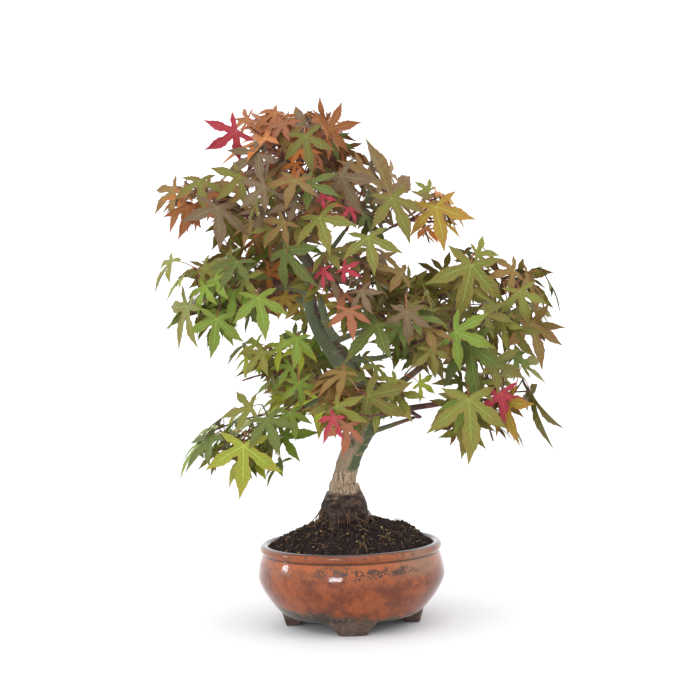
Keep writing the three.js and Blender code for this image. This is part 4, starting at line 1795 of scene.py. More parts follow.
def stretch_distance(a: Array, b: Array, c: Array, d: Array) -> Array:
    """Shortest distance between straight stretches a-b and c-d.

    Args:
        a: Starts of the first stretches.
        b: Their ends.
        c: Starts of the second stretches.
        d: Their ends.

    Returns:
        The distances.
    """
    u, v, r = b - a, d - c, a - c
    uu, vv, uv = (u * u).sum(-1), (v * v).sum(-1), (u * v).sum(-1)
    ur, vr = (u * r).sum(-1), (v * r).sum(-1)
    spread = uu * vv - uv * uv
    s = np.clip(np.where(spread > 1e-9, (uv * vr - ur * vv) / np.maximum(spread, 1e-9), 0), 0, 1)
    t = np.clip((uv * s + vr) / np.maximum(vv, 1e-9), 0, 1)
    s = np.clip((uv * t - ur) / np.maximum(uu, 1e-9), 0, 1)
    return np.linalg.norm(r + u * s[..., None] - v * t[..., None], axis=-1)


class Accent:
    """A leaf that stands out: its tint, its heel and middle, its length, midrib and turn."""

    def __init__(self, tint: Tint, *numbers: float) -> None:
        """Takes the tint, the heel, the tip of the middle lobe and the turn in degrees.

        Args:
            tint: Tint of the leaf.
            numbers: Heel, tip of the middle lobe, and turn in degrees.
        """
        self.tint = tint
        self.heel, tip = np.array(numbers[:3], float), np.array(numbers[3:6], float)
        self.turn = math.radians(numbers[6])
        self.middle = self.heel * (1 - BLADE_MIDDLE) + tip * BLADE_MIDDLE
        self.length = math.dist(self.heel, tip)
        self.midrib = (tip - self.heel) / self.length


class Mass:
    """A mass of foliage that grows from the tip of its limb inside its own space."""

    gap = 0.3
    stem_share = 0.75
    stem_straight = 3.0
    space_margin = 0.03
    limb_clearance = 0.8

    def __init__(self, name: str, plan: MassPlan, limb: Limb) -> None:
        """Takes the plan and the limb that carries the mass.

        Args:
            name: Name of the mass.
            plan: Its plan.
            limb: The limb that carries it.
        """
        self.name = name
        self.plan = plan
        self.middle = np.array(plan.centre, float)
        self.reach = np.array(plan.reach, float)
        self.ahead = unit(limb.points[-1] - limb.points[-2])
        self.start = limb.points[-1] + self.ahead * self.gap
        self.heart = self.start + (self.middle - self.start) * self.stem_share
        self.radius = float(limb.radii[-1])
        straight = self.start + self.ahead * self.stem_straight
        self.stem = np.array([self.start, straight, self.heart])
        self.neighbours: list[Mass] = []
        self.starts = self.ends = self.radii = np.empty(0)

    def meet(self, masses: list["Mass"], limbs: dict[str, Limb]) -> None:
        """Notes the neighbours and the limbs to keep clear of.

        Args:
            masses: All the masses.
            limbs: The trunk and the boughs.
        """
        others = [m for m in masses if m is not self]
        for mass in others:
            if (abs(mass.middle - self.middle) < mass.reach + self.reach).all():
                self.neighbours.append(mass)
        stretches = [s for limb in limbs.values() for s in limb.stretches]
        stretches += [(m.start, m.heart, m.radius) for m in others]
        self.starts, self.ends, self.radii = (np.array(column) for column in zip(*stretches))

    def share(self, points: Array) -> Array:
        """Distance of points from the middle, as a share of the reach in their direction."""
        return np.linalg.norm((points - self.middle) / self.reach, axis=-1)

    def owns(self, points: Array) -> bool:
        """Whether all the points are in the mass's own space.

        Args:
            points: Points, one a row.

        Returns:
            Whether they are.
        """
        share = self.share(points)
        if (share > 1).any():
            return False
        share += self.space_margin
        return all((share < other.share(points)).all() for other in self.neighbours)

    def clears(self, edges: Array) -> bool:
        """Whether all the edges stay clear of the limbs."""
        start, end = edges[:, None, 0], edges[:, None, 1]
        away = stretch_distance(start, end, self.starts[None], self.ends[None])
        return bool((away > self.radii[None] + self.limb_clearance).all())


MASSES: dict[str, MassPlan] = {
    "crown_top": MassPlan((-41, 0, 384), (67, 58, 43), 8, 30, "crown", limb="trunk", finer=56),
    "upper_left": MassPlan((-99, -14, 352), (59, 54, 50), 8, 70, "upper", finer=30),
    "upper_front": MassPlan((-40, -50, 325), (53, 49, 46), 7, 5, "upper", finer=60),
    "upper_right": MassPlan((19, -10, 349), (46, 54, 61), 8, 16, "upper", finer=55),
    "right_spur": MassPlan((77, -12, 328), (43, 38, 45), 5, 64, "golden", 0.95, finer=12),
    "left_up": MassPlan((-97, -20, 263), (58, 52, 50), 8, 22, "fresh", finer=34),
    "centre_front": MassPlan((7, -46, 268), (50, 45, 45), 7, 27, "mixed"),
    "right_middle": MassPlan((55, -44, 232), (48, 47, 48), 7, 64, "olive", 1.05),
    "right_shoulder": MassPlan((116, -2, 260), (74, 58, 54), 9, 23, "olive", 1.12, finer=46),
    "right_low": MassPlan((116, -26, 181), (65, 54, 58), 8, 36, "olive", 1.1, finer=38),
    "left_middle": MassPlan((-55, -14, 206), (50, 47, 41), 7, 38, "fresh", 0.95, finer=36),
    "left_low": MassPlan((-83, -24, 153), (63, 52, 53), 8, 5, "lime", 1.1, finer=24),
    "right_front": MassPlan((20, -64, 182), (56, 40, 42), 6, 15, "olive"),
    "back_left": MassPlan((-84, 75, 297), (74, 52, 64), 8, 58, "olive", finer=56),
    "back_right": MassPlan((73, 82, 247), (84, 54, 64), 9, 38, "olive", finer=62),
    "back_top": MassPlan((-29, 62, 369), (63, 49, 54), 7, 69, "upper"),
    "back_low": MassPlan((-10, 88, 188), (77, 49, 53), 7, 41, "fresh", finer=56),
}

PALETTES: dict[str, dict[Tint, float]] = {
    "crown": {Tint.ORANGE: 4, Tint.RUST: 3, Tint.BRONZE: 3, Tint.GOLD: 1, Tint.PLUM: 2},
    "upper": {Tint.BRONZE: 5, Tint.PLUM: 4, Tint.OLIVE: 2, Tint.RUST: 2, Tint.DEEP_GREEN: 1},
    "golden": {Tint.MOSS: 2, Tint.GOLD: 3, Tint.BRONZE: 2, Tint.ORANGE: 1},
    "mixed": {Tint.OLIVE: 4, Tint.BRONZE: 3, Tint.PLUM: 2, Tint.CORAL: 1, Tint.MOSS: 2},
    "olive": {Tint.OLIVE: 6, Tint.MOSS: 4, Tint.GREEN: 1, Tint.BRONZE: 2, Tint.DEEP_GREEN: 1},
    "fresh": {Tint.GREEN: 4, Tint.DEEP_GREEN: 2, Tint.OLIVE: 2, Tint.LIME: 2, Tint.MOSS: 3},
    "lime": {Tint.LIME: 4, Tint.GREEN: 3, Tint.MOSS: 3, Tint.DEEP_GREEN: 1, Tint.OLIVE: 2},
}

# Rows give the tint, the heel and the tip of the middle lobe, and the turn about it in degrees.
ACCENTS: dict[str, tuple[tuple[Tint | int, ...], ...]] = {
    "crown_top": (
        (Tint.CRIMSON, -78, -52, 388, -105, -41, 373, -46),
        (Tint.ORANGE, -56, -42, 384, -95, -41, 368, 46),
        (Tint.RUST, -7, -30, 391, 20, -33, 395, 28),
        (Tint.RUST, -10, -22, 399, -28, -14, 410, -58),
        (Tint.OLIVE, -25, -58, 382, -21, -58, 350, 22),
        (Tint.PLUM, -61, -58, 369, -89, -65, 351, 18),
        (Tint.CORAL, -42, -40, 395, -55, -43, 378, 27),
        (Tint.RUST, -16, -30, 400, 6, -20, 385, -47),
    ),
    "upper_left": (
        (Tint.ORANGE, -119, -40, 341, -139, -45, 339, 34),
        (Tint.RUST, -117, -46, 332, -125, -46, 307, -43),
        (Tint.PLUM, -93, -64, 329, -90, -81, 294, -28),
        (Tint.OLIVE, -75, -62, 352, -95, -66, 334, -15),
    ),
    "upper_front": (
        (Tint.MOSS, -16, -75, 318, -8, -92, 288, 12),
        (Tint.PLUM, -56, -77, 342, -76, -77, 327, -11),
        (Tint.DEEP_GREEN, -24, -75, 343, 1, -87, 332, -11),
        (Tint.CRIMSON, -14, -71, 334, -2, -70, 330, 22),
        (Tint.BRONZE, -42, -76, 315, -59, -74, 298, 7),
        (Tint.MOSS, -62, -68, 333, -72, -62, 312, 60),
    ),
    "upper_right": (
        (Tint.BRONZE, 39, -36, 337, 24, -15, 393, 47),
        (Tint.OLIVE, 39, -58, 333, 52, -65, 298, -19),
        (Tint.PLUM, 1, -63, 350, 15, -72, 315, 38),
        (Tint.CRIMSON, 7, -58, 326, 12, -60, 314, -18),
    ),
    "right_spur": (
        (Tint.GOLD, 74, -36, 328, 79, -48, 291, 19),
        (Tint.MOSS, 70, -24, 342, 59, -20, 351, 5),
    ),
    "left_up": (
        (Tint.GREEN, -96, -64, 245, -100, -68, 213, -14),
        (Tint.GREEN, -64, -65, 260, -60, -68, 227, -7),
        (Tint.MOSS, -120, -48, 256, -135, -32, 220, 44),
        (Tint.LIME, -120, -40, 282, -141, -43, 261, 68),
        (Tint.DEEP_GREEN, -79, -67, 287, -93, -81, 265, 18),
    ),
    "centre_front": (
        (Tint.MOSS, 20, -73, 302, 25, -88, 272, -3),
        (Tint.CORAL, 4, -77, 248, 6, -89, 226, -9),
        (Tint.CRIMSON, -14, -72, 279, -16, -73, 261, 45),
        (Tint.CRIMSON, 1, -71, 280, 15, -69, 271, 45),
        (Tint.DEEP_GREEN, -43, -63, 295, -19, -73, 263, 50),
        (Tint.BRONZE, 45, -62, 275, 16, -74, 283, 31),
    ),
    "right_middle": (
        (Tint.DEEP_GREEN, 25, -66, 237, -3, -81, 209, 32),
        (Tint.PLUM, 47, -78, 246, 47, -67, 219, 9),
        (Tint.LIME, 56, -60, 192, 70, -52, 182, -8),
        (Tint.OLIVE, 65, -70, 217, 69, -67, 194, -19),
        (Tint.OLIVE, 50, -40, 268, 52, -42, 285, 48),
    ),
    "right_shoulder": (
        (Tint.MOSS, 99, -48, 281, 87, -44, 234, -16),
        (Tint.MOSS, 136, -44, 260, 141, -45, 231, 11),
        (Tint.BRONZE, 144, -40, 235, 153, -50, 197, -29),
        (Tint.GREEN, 84, -62, 230, 114, -70, 214, 26),
        (Tint.OLIVE, 108, -56, 242, 130, -66, 236, -5),
        (Tint.BRONZE, 146, -34, 236, 173, -39, 230, 58),
        (Tint.OLIVE, 129, -50, 232, 144, -52, 205, 48),
        (Tint.MOSS, 121, -54, 236, 123, -62, 213, 46),
    ),
    "right_low": (
        (Tint.OLIVE, 142, -44, 182, 156, -34, 131, 87),
        (Tint.MOSS, 92, -69, 179, 91, -67, 129, -18),
        (Tint.CRIMSON, 118, -52, 182, 124, -42, 151, 3),
        (Tint.DEEP_GREEN, 96, -51, 219, 95, -66, 166, 56),
        (Tint.OLIVE, 112, -64, 206, 138, -63, 192, 4),
        (Tint.GOLD, 123, -44, 175, 129, -61, 141, 60),
    ),
    "left_middle": (
        (Tint.GREEN, -35, -63, 195, -33, -54, 172, -19),
        (Tint.GREEN, -36, -60, 229, -39, -67, 205, -22),
        (Tint.MOSS, -63, -56, 219, -80, -62, 200, 25),
        (Tint.MOSS, -30, 12, 248, -36, 18, 228, 23),
    ),
    "left_low": (
        (Tint.LIME, -78, -67, 149, -81, -69, 106, -6),
        (Tint.DEEP_GREEN, -60, -66, 168, -52, -82, 142, 11),
        (Tint.MOSS, -73, -56, 177, -99, -52, 171, 19),
        (Tint.DEEP_GREEN, -104, -44, 154, -130, -48, 130, 50),
        (Tint.GREEN, -43, -54, 172, -38, -65, 151, -15),
    ),
    "right_front": (
        (Tint.CRIMSON, -9, -81, 169, -20, -79, 148, 37),
        (Tint.CORAL, 0, -82, 163, -4, -86, 140, -22),
        (Tint.OLIVE, 16, -77, 184, 49, -66, 161, 42),
        (Tint.MOSS, -7, -79, 177, 16, -83, 161, 45),
    ),
    "back_left": (
        (Tint.GOLD, -34, 22, 260, -52, 30, 244, 15),
        (Tint.GOLD, -50, 26, 264, -35, 29, 242, 32),
        (Tint.ORANGE, -62, 24, 284, -43, 31, 277, 26),
        (Tint.GOLD, -18, 34, 264, -24, 35, 238, -26),
    ),
}

# Places left open to the sky: across, up, half-width and half-height.
WINDOWS: tuple[Four, ...] = (
    (-118, 195, 32, 18),
    (81, 377, 36, 21),
    (147, 314, 34, 23),
    (-138, 373, 34, 30),
    (-156, 312, 15, 20),
    (-26, 121, 11, 16),
    (42, 141, 23, 19),
    (112, 336, 16, 24),
    (-58, 419, 21, 10),
    (-113, 312, 19, 15),
    (-128, 276, 13, 19),
    (153, 287, 27, 12),
    (156, 172, 21, 24),
    (119, 135, 21, 14),
    (-52, 135, 15, 16),
    (-118, 116, 15, 11),
    (51, 351, 10, 10),
    (-127, 162, 15, 12),
    (132, 255, 12, 10),
    (25, 373, 10, 13),
    (-49, 313, 7, 6),
    (-58, 291, 7, 6),
    (2, 297, 6, 6),
    (50, 199, 11, 6),
    (-35, 370, 6, 5),
    (88, 184, 8, 6),
    (-94, 229, 11, 6),
    (40, 300, 8, 7),
    (13, 183, 6, 5),
)


@dataclass
class Foliage:
    """Twigs, leaf stalks and leaves of every mass."""

    shape: LeafShape = field(default_factory=LeafShape)
    shoot_roots: Pair = (0.3, 0.98)
    shoot_spread: Pair = (0.34, 0.7)
    shoot_nodes: Pair = (0.97, 0.5)
    stagger: float = 0.04
    scatter: float = 0.6
    finer_shoots: int = 64
    accent_shoots: int = 300
    finer_length: Pair = (8, 60)
    stem_end: float = 1.0

    def __post_init__(self) -> None:
        """Makes the leaves that stand out from their table."""
        self.accents = {name: [Accent(*row) for row in rows] for name, rows in ACCENTS.items()}

    def build(self, bench: Bench, effects: SharedEffects, limbs: dict[str, Limb]) -> list[Obj]:
        """Grows every mass and makes the twigs, the stalks and a piece of leaves for each tint.

        Args:
            bench: The mesh tools.
            effects: The shared node groups.
            limbs: The trunk and the boughs.

        Returns:
            All the pieces.
        """
        masses = [Mass(n, p, limbs[p.limb or n]) for n, p in MASSES.items()]
        for mass in masses:
            mass.meet(masses, limbs)
        twigs, stalks = Heap(), Heap()
        blades: dict[Tint, Heap] = {}
        total = 0
        for mass in masses:
            shoots = self.shoots(mass)
            leaves = self.leaves(mass, shoots, limbs["trunk"])
            total += len(leaves)
            self.add_twigs(twigs, mass, shoots)
            for leaf in leaves:
                self.add_stalk(stalks, leaf)
                self.add_blade(blades.setdefault(leaf.tint, Heap()), leaf)
        LOG.info("foliage: %d leaves in %d masses", total, len(masses))
        names = ["leaves_" + mass.name for mass in masses]
        twig_bark = YoungBark("twig_bark", (78, 40, 38), (124, 70, 54), (98, 88, 56))
        stalk_skin = YoungBark("stalk_skin", (164, 78, 52), (190, 128, 80), (140, 140, 70), 0.45)
        looks = [("twigs", twigs, twig_bark, "bough_bark", names)]
        looks.append(("leaf_stalks", stalks, stalk_skin, "foliage_orange", ()))
        for tint, heap in blades.items():
            looks.append(("leaves_" + tint.name.lower(), heap, tint, tint.value[3], ()))
        pieces = []
        for name, heap, finish, slot, nodes in looks:
            piece = heap.build(bench, name)
            bench.smooth(piece)
            dress(piece, finish.make(bench.axis, effects), slot, *nodes)
            pieces.append(piece)
        return pieces

    def shoots(self, mass: Mass) -> list[Shoot]:
        """Spreads the shoots of a mass evenly over its space, from its stem.

        Args:
            mass: The mass.

        Returns:
            The shoots.
        """
        draw = draws(mass.plan.seed)
        start = draw() * FULL_TURN
        golden = math.pi * (3 - math.sqrt(5))
        shoots = []
        for index in range(mass.plan.shoots):
            height = 1 - 2 * (index + 0.5) / mass.plan.shoots
            width = math.sqrt(1 - height * height)
            turn = start + index * golden
            out = np.array([width * math.cos(turn), width * math.sin(turn), height])
            out = unit(out + self.scatter * (np.array([draw(), draw(), draw()]) - 0.5))
            spread = blend(self.shoot_spread, draw())
            spin = draw() * math.pi
            tip = mass.middle + mass.reach * out * spread
            root = smoothed(mass.stem, blend(self.shoot_roots, (index + 0.5) / mass.plan.shoots))
            shoot = self.shoot(index, root, tip, out, spin)
            if mass.owns(tip[None]) and mass.clears(np.array([[root, tip]])):
                shoots.append(shoot)
        return shoots

    @staticmethod
    def shoot(index: int, root: Array, tip: Array, out: Array, spin: float) -> Shoot:
        """Makes a shoot whose pairs of leaves stand crosswise.

        Args:
            index: Number of the shoot.
            root: Where it starts.
            tip: Where it ends.
            out: Its way out of the mass.
            spin: Turn of the first pair.

        Returns:
            The shoot.
        """
        way = unit(tip - root)
        flat = unit(np.cross(way, [0, 0, 1]))
        over = unit(np.cross(flat, way))
        turns = (spin, spin + math.pi / 2)
        sides = [flat * math.cos(a) + over * math.sin(a) for a in turns]
        return Shoot(index, root, tip, out, way, sides)

    def leaves(self, mass: Mass, shoots: list[Shoot], trunk: Limb) -> list[Leaf]:
        """Grows the leaves of a mass, then finer shoots with leaves of their own.

        Args:
            mass: The mass.
            shoots: Its shoots; the finer ones are added to the list.
            trunk: The trunk, which the leaves face away from.

        Returns:
            The leaves, with their tints.
        """
        grown = self.accent_leaves(mass, shoots)
        # Every third shoot bears its second pair of leaves at once, the others in a second round.
        rounds = [(s, p) for s in shoots for p in ((0, 1) if s.index % 3 == 0 else (0,))]
        rounds += [(s, 1) for s in shoots if s.index % 3]
        for shoot, place in rounds:
            for side in (1, -1):
                self.try_leaf(mass, shoot, place, side, grown, trunk)
        draw = draws(mass.plan.seed * 77 + 5)
        for number in range(mass.plan.finer):
            bearing = [s for s in shoots if s.index < self.accent_shoots]
            parent = bearing[int(draw() * len(bearing))]
            root = parent.root + (parent.tip - parent.root) * blend((0.2, 0.8), draw())
            out = unit(np.array([draw(), draw(), draw()]) - 0.5 + parent.out * 0.15)
            tip = mass.middle + mass.reach * out * blend((0.3, 0.85), draw())
            spin = draw() * math.pi
            stem = np.array([[root, tip]])
            short, long = self.finer_length
            fits = short < np.linalg.norm(tip - root) < long
            if not (fits and mass.owns(tip[None]) and mass.clears(stem)):
                continue
            if any(crosses(stem, leaf.faces) for leaf in grown):
                continue
            index = self.finer_shoots + number
            shoot = self.shoot(index, root, tip, out, spin)
            before = len(grown)
            for side in (1, -1):
                self.try_leaf(mass, shoot, 0, side, grown, trunk)
            if len(grown) > before:
                shoots.append(shoot)
        self.deal_tints(mass, grown)
        return grown

    def seen(self, point: Array) -> Array:
        """Where a point shows from in front, brought to the upright plane through the axis."""
        x, y, z = VIEWPOINT
        return np.array([x, z]) + (point[[0, 2]] - [x, z]) * y / (y - point[1])

    def kept_open(self, base: Array, midrib: Array, length: float) -> bool:
        """Whether a leaf there would close a gap in the crown, or hide a leaf that stands out.

        Args:
            base: Heel of the blade.
            midrib: Direction of the midrib.
            length: Length of the middle lobe.

        Returns:
            Whether it would.
        """
        middle = base + midrib * length * BLADE_MIDDLE
        shown, end = self.seen(middle), self.seen(base + midrib * length * 0.85)
        for x, z, wide, high in WINDOWS:
            for spot in (shown, end):
                if ((spot[0] - x) / wide) ** 2 + ((spot[1] - z) / high) ** 2 < 1:
                    return True
        for accent in (a for accents in self.accents.values() for a in accents):
            away = np.linalg.norm(self.seen(accent.middle) - shown)
            if away < (accent.length + length) * 0.36 and middle[1] < accent.middle[1]:
                return True
        return False

    def accent_leaves(self, mass: Mass, shoots: list[Shoot]) -> list[Leaf]:
        """Hangs the leaves that stand out on thin shoots of their own.

        Args:
            mass: The mass.
            shoots: Its shoots; the thin ones are added to the list.

        Returns:
            The leaves.
        """
        made = []
        early = [s for s in shoots if s.index < self.finer_shoots]
        for index, accent in enumerate(self.accents.get(mass.name, ())):
            base, midrib, turn = accent.heel, accent.midrib, accent.turn
            front = np.array([0, -1, 0.3])
            front = unit(front - midrib * np.dot(front, midrib))
            normal = front * math.cos(turn) + np.cross(midrib, front) * math.sin(turn)
            node = base - midrib * 6 - front * 13 + np.array([0, 0, 3.0])
            starts = np.array([mass.stem[1]] + [s.root for s in early])
            ways = np.array([mass.stem[2]] + [s.tip for s in early]) - starts
            share = np.clip(((node - starts) * ways).sum(1) / (ways**2).sum(1), 0.1, 0.95)
            spots = starts + ways * share[:, None]
            root = spots[np.argmin(np.linalg.norm(spots - node, axis=1))]
            if np.linalg.norm(node - root) > 4:
                number = self.accent_shoots + index
                shoots.append(self.shoot(number, root, node, mass.ahead, 0.6))
            leaf = self.shape.leaf(node, base, midrib, normal, accent.length, -1 - index)
            leaf.tint = accent.tint
            made.append(leaf)
        return made

    def try_leaf(
        self, mass: Mass, shoot: Shoot, place: int, side: int, grown: list[Leaf], trunk: Limb
    ) -> None:
        """Adds one leaf at a node of a shoot, where one of its tries fits the space left.

        Args:
            mass: The mass.
            shoot: The shoot.
            place: Which pair of leaves, 0 or 1.
            side: Which leaf of the pair, 1 or -1.
            grown: The leaves so far.
            trunk: The trunk.
        """
        seed = mass.plan.seed * SEEDS_PER_MASS + shoot.index * SEEDS_PER_SHOOT
        seed += place * 16 + side + 1
        draw = draws(seed)
        share = self.shoot_nodes[place] - (self.stagger if side < 0 else 0)
        node = shoot.root + (shoot.tip - shoot.root) * share
        for attempt in range(self.shape.tries):
            d = [draw() for _ in range(8)]
            loose = (np.array(d[:3]) - 0.5) * [0.9, 0.9, 0.7] + [0, 0, 0.1]
            stalk = unit(shoot.way * 0.5 + shoot.side[place] * side * 0.9 + shoot.out * 0.5 + loose)
            length = blend(self.shape.length, d[3]) * mass.plan.leaf * (1 if place == 0 else 0.88)
            length *= 1 - 0.05 * attempt
            base = node + stalk * blend(self.shape.petiole, d[4]) * (1 - 0.08 * attempt)
            normal = self.facing(base, d[5], d[6], trunk)
            down = unit(np.array([0, 0, -1.0]) + normal * normal[2])
            midrib = stalk - normal * np.dot(stalk, normal)
            midrib = unit(midrib + down * (0.25 + 0.75 * d[7]))
            leaf = self.shape.leaf(node, base, midrib, normal, length, seed)
            if not mass.owns(leaf.faces.reshape(-1, 3)) or self.kept_open(base, midrib, length):
                continue
            close = [g for g in grown if np.linalg.norm(g.base - base) < g.length + length + 10]
            if mass.clears(leaf.edges) and not any(leaf.crosses(other) for other in close):
                grown.append(leaf)
                return

    @staticmethod
    def facing(base: Array, turn_share: float, tilt_share: float, trunk: Limb) -> Array:
        """Direction that a blade faces: out from the trunk, forward or back, and a bit upwards.

        Args:
            base: Heel of the blade.
            turn_share: Random share of the turn.
            tilt_share: Random share of the tilt.
            trunk: The trunk.

        Returns:
            The direction.
        """
        x, y, _ = base - trunk.at_height(base[2])
        turn = math.atan2(y + (-45 if y < 20 else 45), x * 0.6) + (turn_share - 0.5) * 1.5
        tilt = math.radians(12 + 48 * tilt_share)
        level = ring(turn) * math.cos(tilt)
        return np.array([level[0], level[1], math.sin(tilt)])

    def deal_tints(self, mass: Mass, grown: list[Leaf]) -> None:
        """Deals the palette of a mass out by spray: leaves of one shoot mostly share a tint.

        Args:
            mass: The mass.
            grown: The leaves so far.
        """
        palette = PALETTES[mass.plan.tints]
        total = sum(palette.values())

        def pick(value: float) -> Tint:
            """Picks a tint by its weight.

            Args:
                value: Random share from 0 to 1.

            Returns:
                The tint.
            """
            for tint, weight in palette.items():
                value -= weight / total
                if value <= 0:
                    return tint
            return next(iter(palette))

        for leaf in grown:
            if leaf.seed < 0:
                continue
            spray = draws(leaf.seed // SEEDS_PER_SHOOT + 9000)()
            own = draws(leaf.seed + 70000)
            leaf.tint = pick(spray if own() < 0.7 else own())

    def add_twigs(self, heap: Heap, mass: Mass, shoots: list[Shoot]) -> None:
        """Adds the stem and the shoots of a mass, each curved a little.

        Args:
            heap: What the shapes are added to.
            mass: The mass.
            shoots: The shoots of the mass.
        """
        t = np.linspace(0, 1, 14)
        stem = smoothed(mass.stem, t)
        radii = np.interp(t, [0, 0.5, 1], [mass.radius, mass.radius * 0.85, self.stem_end])
        heap.add(*sweep(stem, radii, 8))
        for shoot in shoots:
            draw = draws(shoot.index * 31 + mass.plan.seed)
            long = np.linalg.norm(shoot.tip - shoot.root)
            bow = (shoot.side[0] * (draw() - 0.5) + shoot.side[1] * (draw() - 0.5)) * long * 0.12
            t = np.linspace(0, 1, 9)
            path = shoot.root + np.outer(t, shoot.tip - shoot.root)
            path += np.outer(np.sin(t * math.pi), bow)
            thick = (1.05, 0.6) if shoot.index < self.finer_shoots else (0.75, 0.45)
            radii = np.array([blend(thick, s) for s in t]) * (1 + 0.25 * (np.arange(9) % 4 == 3))
            heap.add(*sweep(path, radii, 6))

    def add_stalk(self, heap: Heap, leaf: Leaf) -> None:
        """Adds the stalk of a leaf, which arches from its node to the heel of the blade.

        Args:
            heap: What the shapes are added to.
            leaf: The leaf.
        """
        t = np.linspace(0, 1, 6)
        way = leaf.base - leaf.node
        arch = np.array([0, 0, 1.0]) * np.linalg.norm(way) * 0.07
        path = leaf.node + np.outer(t, way) + np.outer(np.sin(t * math.pi), arch)
        heap.add(*sweep(path, np.interp(t, [0, 0.15, 1], [0.6, 0.4, 0.34]), 4))

    def add_blade(self, heap: Heap, leaf: Leaf) -> None:
        """Adds the blade of a leaf: toothed lobes, folded at their midribs and curled down.

        Args:
            heap: What the shapes are added to.
            leaf: The leaf.
        """
        kind = self.shape
        draw = draws(leaf.seed + 31337)
        side = np.cross(leaf.midrib, leaf.normal)
        points, marks, faces = [(0.0, 0.0, 0.0)], [(0.0, 0.0)], []
        lobes = []
        for angle, share in kind.lobes:
            angle += (draw() - 0.5) * kind.lobe_turn
            lobes.append((angle, share * blend(kind.lobe_size, draw())))
        fold = blend(kind.fold, draw())
        curl = blend(kind.curl, draw())
        wave = (draw() - 0.5) * kind.wave

        def corner(angle: float, share: float, along: float, across: float, lift: float = 0) -> int:
            """Adds a point of the blade in polar form and gives its number.

            Args:
                angle: Degrees from the midrib.
                share: Distance as a share of the length.
                along: First marking value.
                across: Second marking value.
                lift: Rise over the plain blade.

            Returns:
                The number of the point.
            """
            turn = math.radians(angle)
            drop = kind.droop * share**2 + curl * max(0.0, share - kind.curl_start) ** 2 - lift
            rise = -drop + wave * math.sin(2.5 * turn) * share
            points.append((math.cos(turn) * share, math.sin(turn) * share, rise))
            marks.append((along, across))
            return len(points) - 1

        heel_turn, heel_share = kind.heel
        cuts = [corner(-heel_turn, heel_share, 0.05, 1.0)]
        for i, cut in enumerate(kind.notches):
            between = (lobes[i][0] + lobes[i + 1][0]) / 2
            cuts.append(corner(between, cut, 0.14, 1.0, 0.04 * fold))
        cuts.append(corner(heel_turn, heel_share, 0.05, 1.0))
        for i, (angle, share) in enumerate(lobes):
            bend = (draw() - 0.5) * kind.lobe_bend
            ribs, margin = kind.ribs, kind.margin
            if share < kind.short_lobe:
                ribs, margin = kind.short_ribs, kind.short_margin
            ribs = [corner(angle, share * t, t, 0.0) for t in ribs]
            ribs.append(corner(angle + bend * 0.7, share, 1.0, 0.4))
            for sign, cut in ((-1, cuts[i]), (1, cuts[i + 1])):
                inner, last = 0, cut
                for rib, group in zip(ribs, margin):
                    rim = []
                    for t, w in group:
                        away = math.degrees(math.atan2(w, t)) * sign + bend * t * t * 0.6
                        reach = math.hypot(t, w) * share
                        rim.append(corner(angle + away, reach, t, 1.0, w * share * fold))
                    polygon = (inner, last, *rim, rib)
                    faces.append(polygon if sign < 0 else polygon[::-1])
                    inner, last = rib, rim[-1]
        shape = np.array(points) * leaf.length
        placed = leaf.base + np.outer(shape[:, 0], leaf.midrib) + np.outer(shape[:, 1], side)
        placed += np.outer(shape[:, 2], leaf.normal)
        tone = draw() * 0.4 if leaf.seed < 0 else blend((0.3, 1.0), draw())
        heap.add(placed, faces, uv=np.array(marks), tone=np.full(len(points), tone))


# ---------------- stage


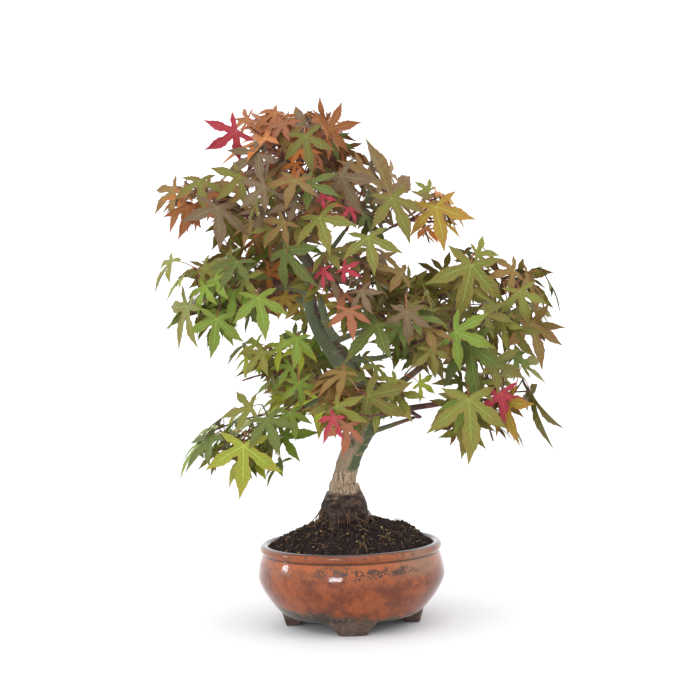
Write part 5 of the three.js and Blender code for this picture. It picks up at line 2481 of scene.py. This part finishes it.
@dataclass
class Studio:
    """Pale floor, soft lights and the camera."""

    floor_radius: float = 40.0
    floor_grey: float = 0.88
    floor_roughness: float = 0.9
    surround: Four = (0.97, 0.985, 1.0, 1)
    surround_strength: float = 1.42
    panel_colour: Point = (0.86, 0.93, 1.0)
    panels: tuple[tuple[str, Point, Pair, float], ...] = (
        ("window", (-0.64, -1.75, 0.46), (0.46, 0.13), 4.4),
        ("side_window", (-1.85, -0.02, 0.46), (0.3, 0.13), 2.6),
        ("overhead", (0.1, -0.5, 1.9), (0.8, 0.8), 3),
    )
    panels_face: Point = (0, 0, 0.2)
    roll: float = 1.7
    lens: float = 64.3
    sensor: float = 36

    def build(self, bench: Bench) -> None:
        """Makes the floor, the lights and the camera."""
        self.floor()
        self.lights()
        self.camera(bench)

    def floor(self) -> None:
        """Makes a wide pale floor."""
        deselect()
        radius = self.floor_radius
        bpy.ops.mesh.primitive_circle_add(vertices=96, radius=radius, fill_type="NGON")
        floor = latest("floor")
        material = bpy.data.materials.new("pale_floor")
        material.use_nodes = True
        inputs = material.node_tree.nodes["Principled BSDF"].inputs
        inputs["Base Color"].default_value = (*[self.floor_grey] * 3, 1)
        inputs["Roughness"].default_value = self.floor_roughness
        floor.data.materials.append(material)

    def lights(self) -> None:
        """Makes the white surround and the soft panels."""
        scene = bpy.context.scene
        world = bpy.data.worlds.new("white_surround")
        world.use_nodes = True
        inputs = world.node_tree.nodes["Background"].inputs
        inputs["Color"].default_value = self.surround
        inputs["Strength"].default_value = self.surround_strength
        scene.world = world
        scene.view_settings.view_transform = "Standard"
        for name, place, size, power in self.panels:
            light = bpy.data.lights.new(name, "AREA")
            light.shape = "RECTANGLE"
            light.size, light.size_y = size
            light.energy = power
            light.color = self.panel_colour
            lamp = bpy.data.objects.new(name, light)
            lamp.location = place
            ahead = Vector(self.panels_face) - Vector(place)
            lamp.rotation_euler = ahead.to_track_quat("-Z", "Y").to_euler()
            scene.collection.objects.link(lamp)

    def camera(self, bench: Bench) -> None:
        """Makes the camera, level and rolled a little.

        Args:
            bench: The mesh tools.
        """
        data = bpy.data.cameras.new("camera")
        data.lens = self.lens
        data.sensor_width = self.sensor
        camera = bpy.data.objects.new("camera", data)
        bpy.context.scene.collection.objects.link(camera)
        roll = math.radians(self.roll)
        right = Vector((math.cos(roll), 0, -math.sin(roll)))
        up = Vector((math.sin(roll), 0, math.cos(roll)))
        turned = Matrix((right, up, Vector((0, -1, 0)))).transposed().to_4x4()
        camera.matrix_world = Matrix.Translation(bench.place(np.array(VIEWPOINT))) @ turned
        bpy.context.scene.camera = camera


# ---------------- assembly


def dress(obj: Obj, material: Material, slot: str, *nodes: str) -> None:
    """Gives a piece its material and its body, and hides the frame nodes that it stands for.

    Args:
        obj: The piece.
        material: Its material.
        slot: Not used.
        nodes: Frame nodes that it stands for.
    """
    obj.data.materials.clear()
    obj.data.materials.append(material)
    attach(obj, "root")
    if nodes:
        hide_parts(*nodes)


def main() -> None:
    """Builds every piece in order."""
    logging.basicConfig(level=logging.INFO, format="%(message)s")
    bench = Bench()
    effects = SharedEffects()
    bowl = Bowl()
    limb_plan = Limbs()
    limbs = limb_plan.grow()
    pieces = bowl.build(bench, effects)
    pieces += SoilHeap(bowl).build(bench, effects)
    pieces += limb_plan.build(bench, effects, limbs)
    pieces += Foliage().build(bench, effects, limbs)
    Studio().build(bench)
    for piece in pieces:
        piece.data.update()
        LOG.info("%s: %d faces", piece.name, len(piece.data.polygons))


if __name__ == "__main__":
    main()
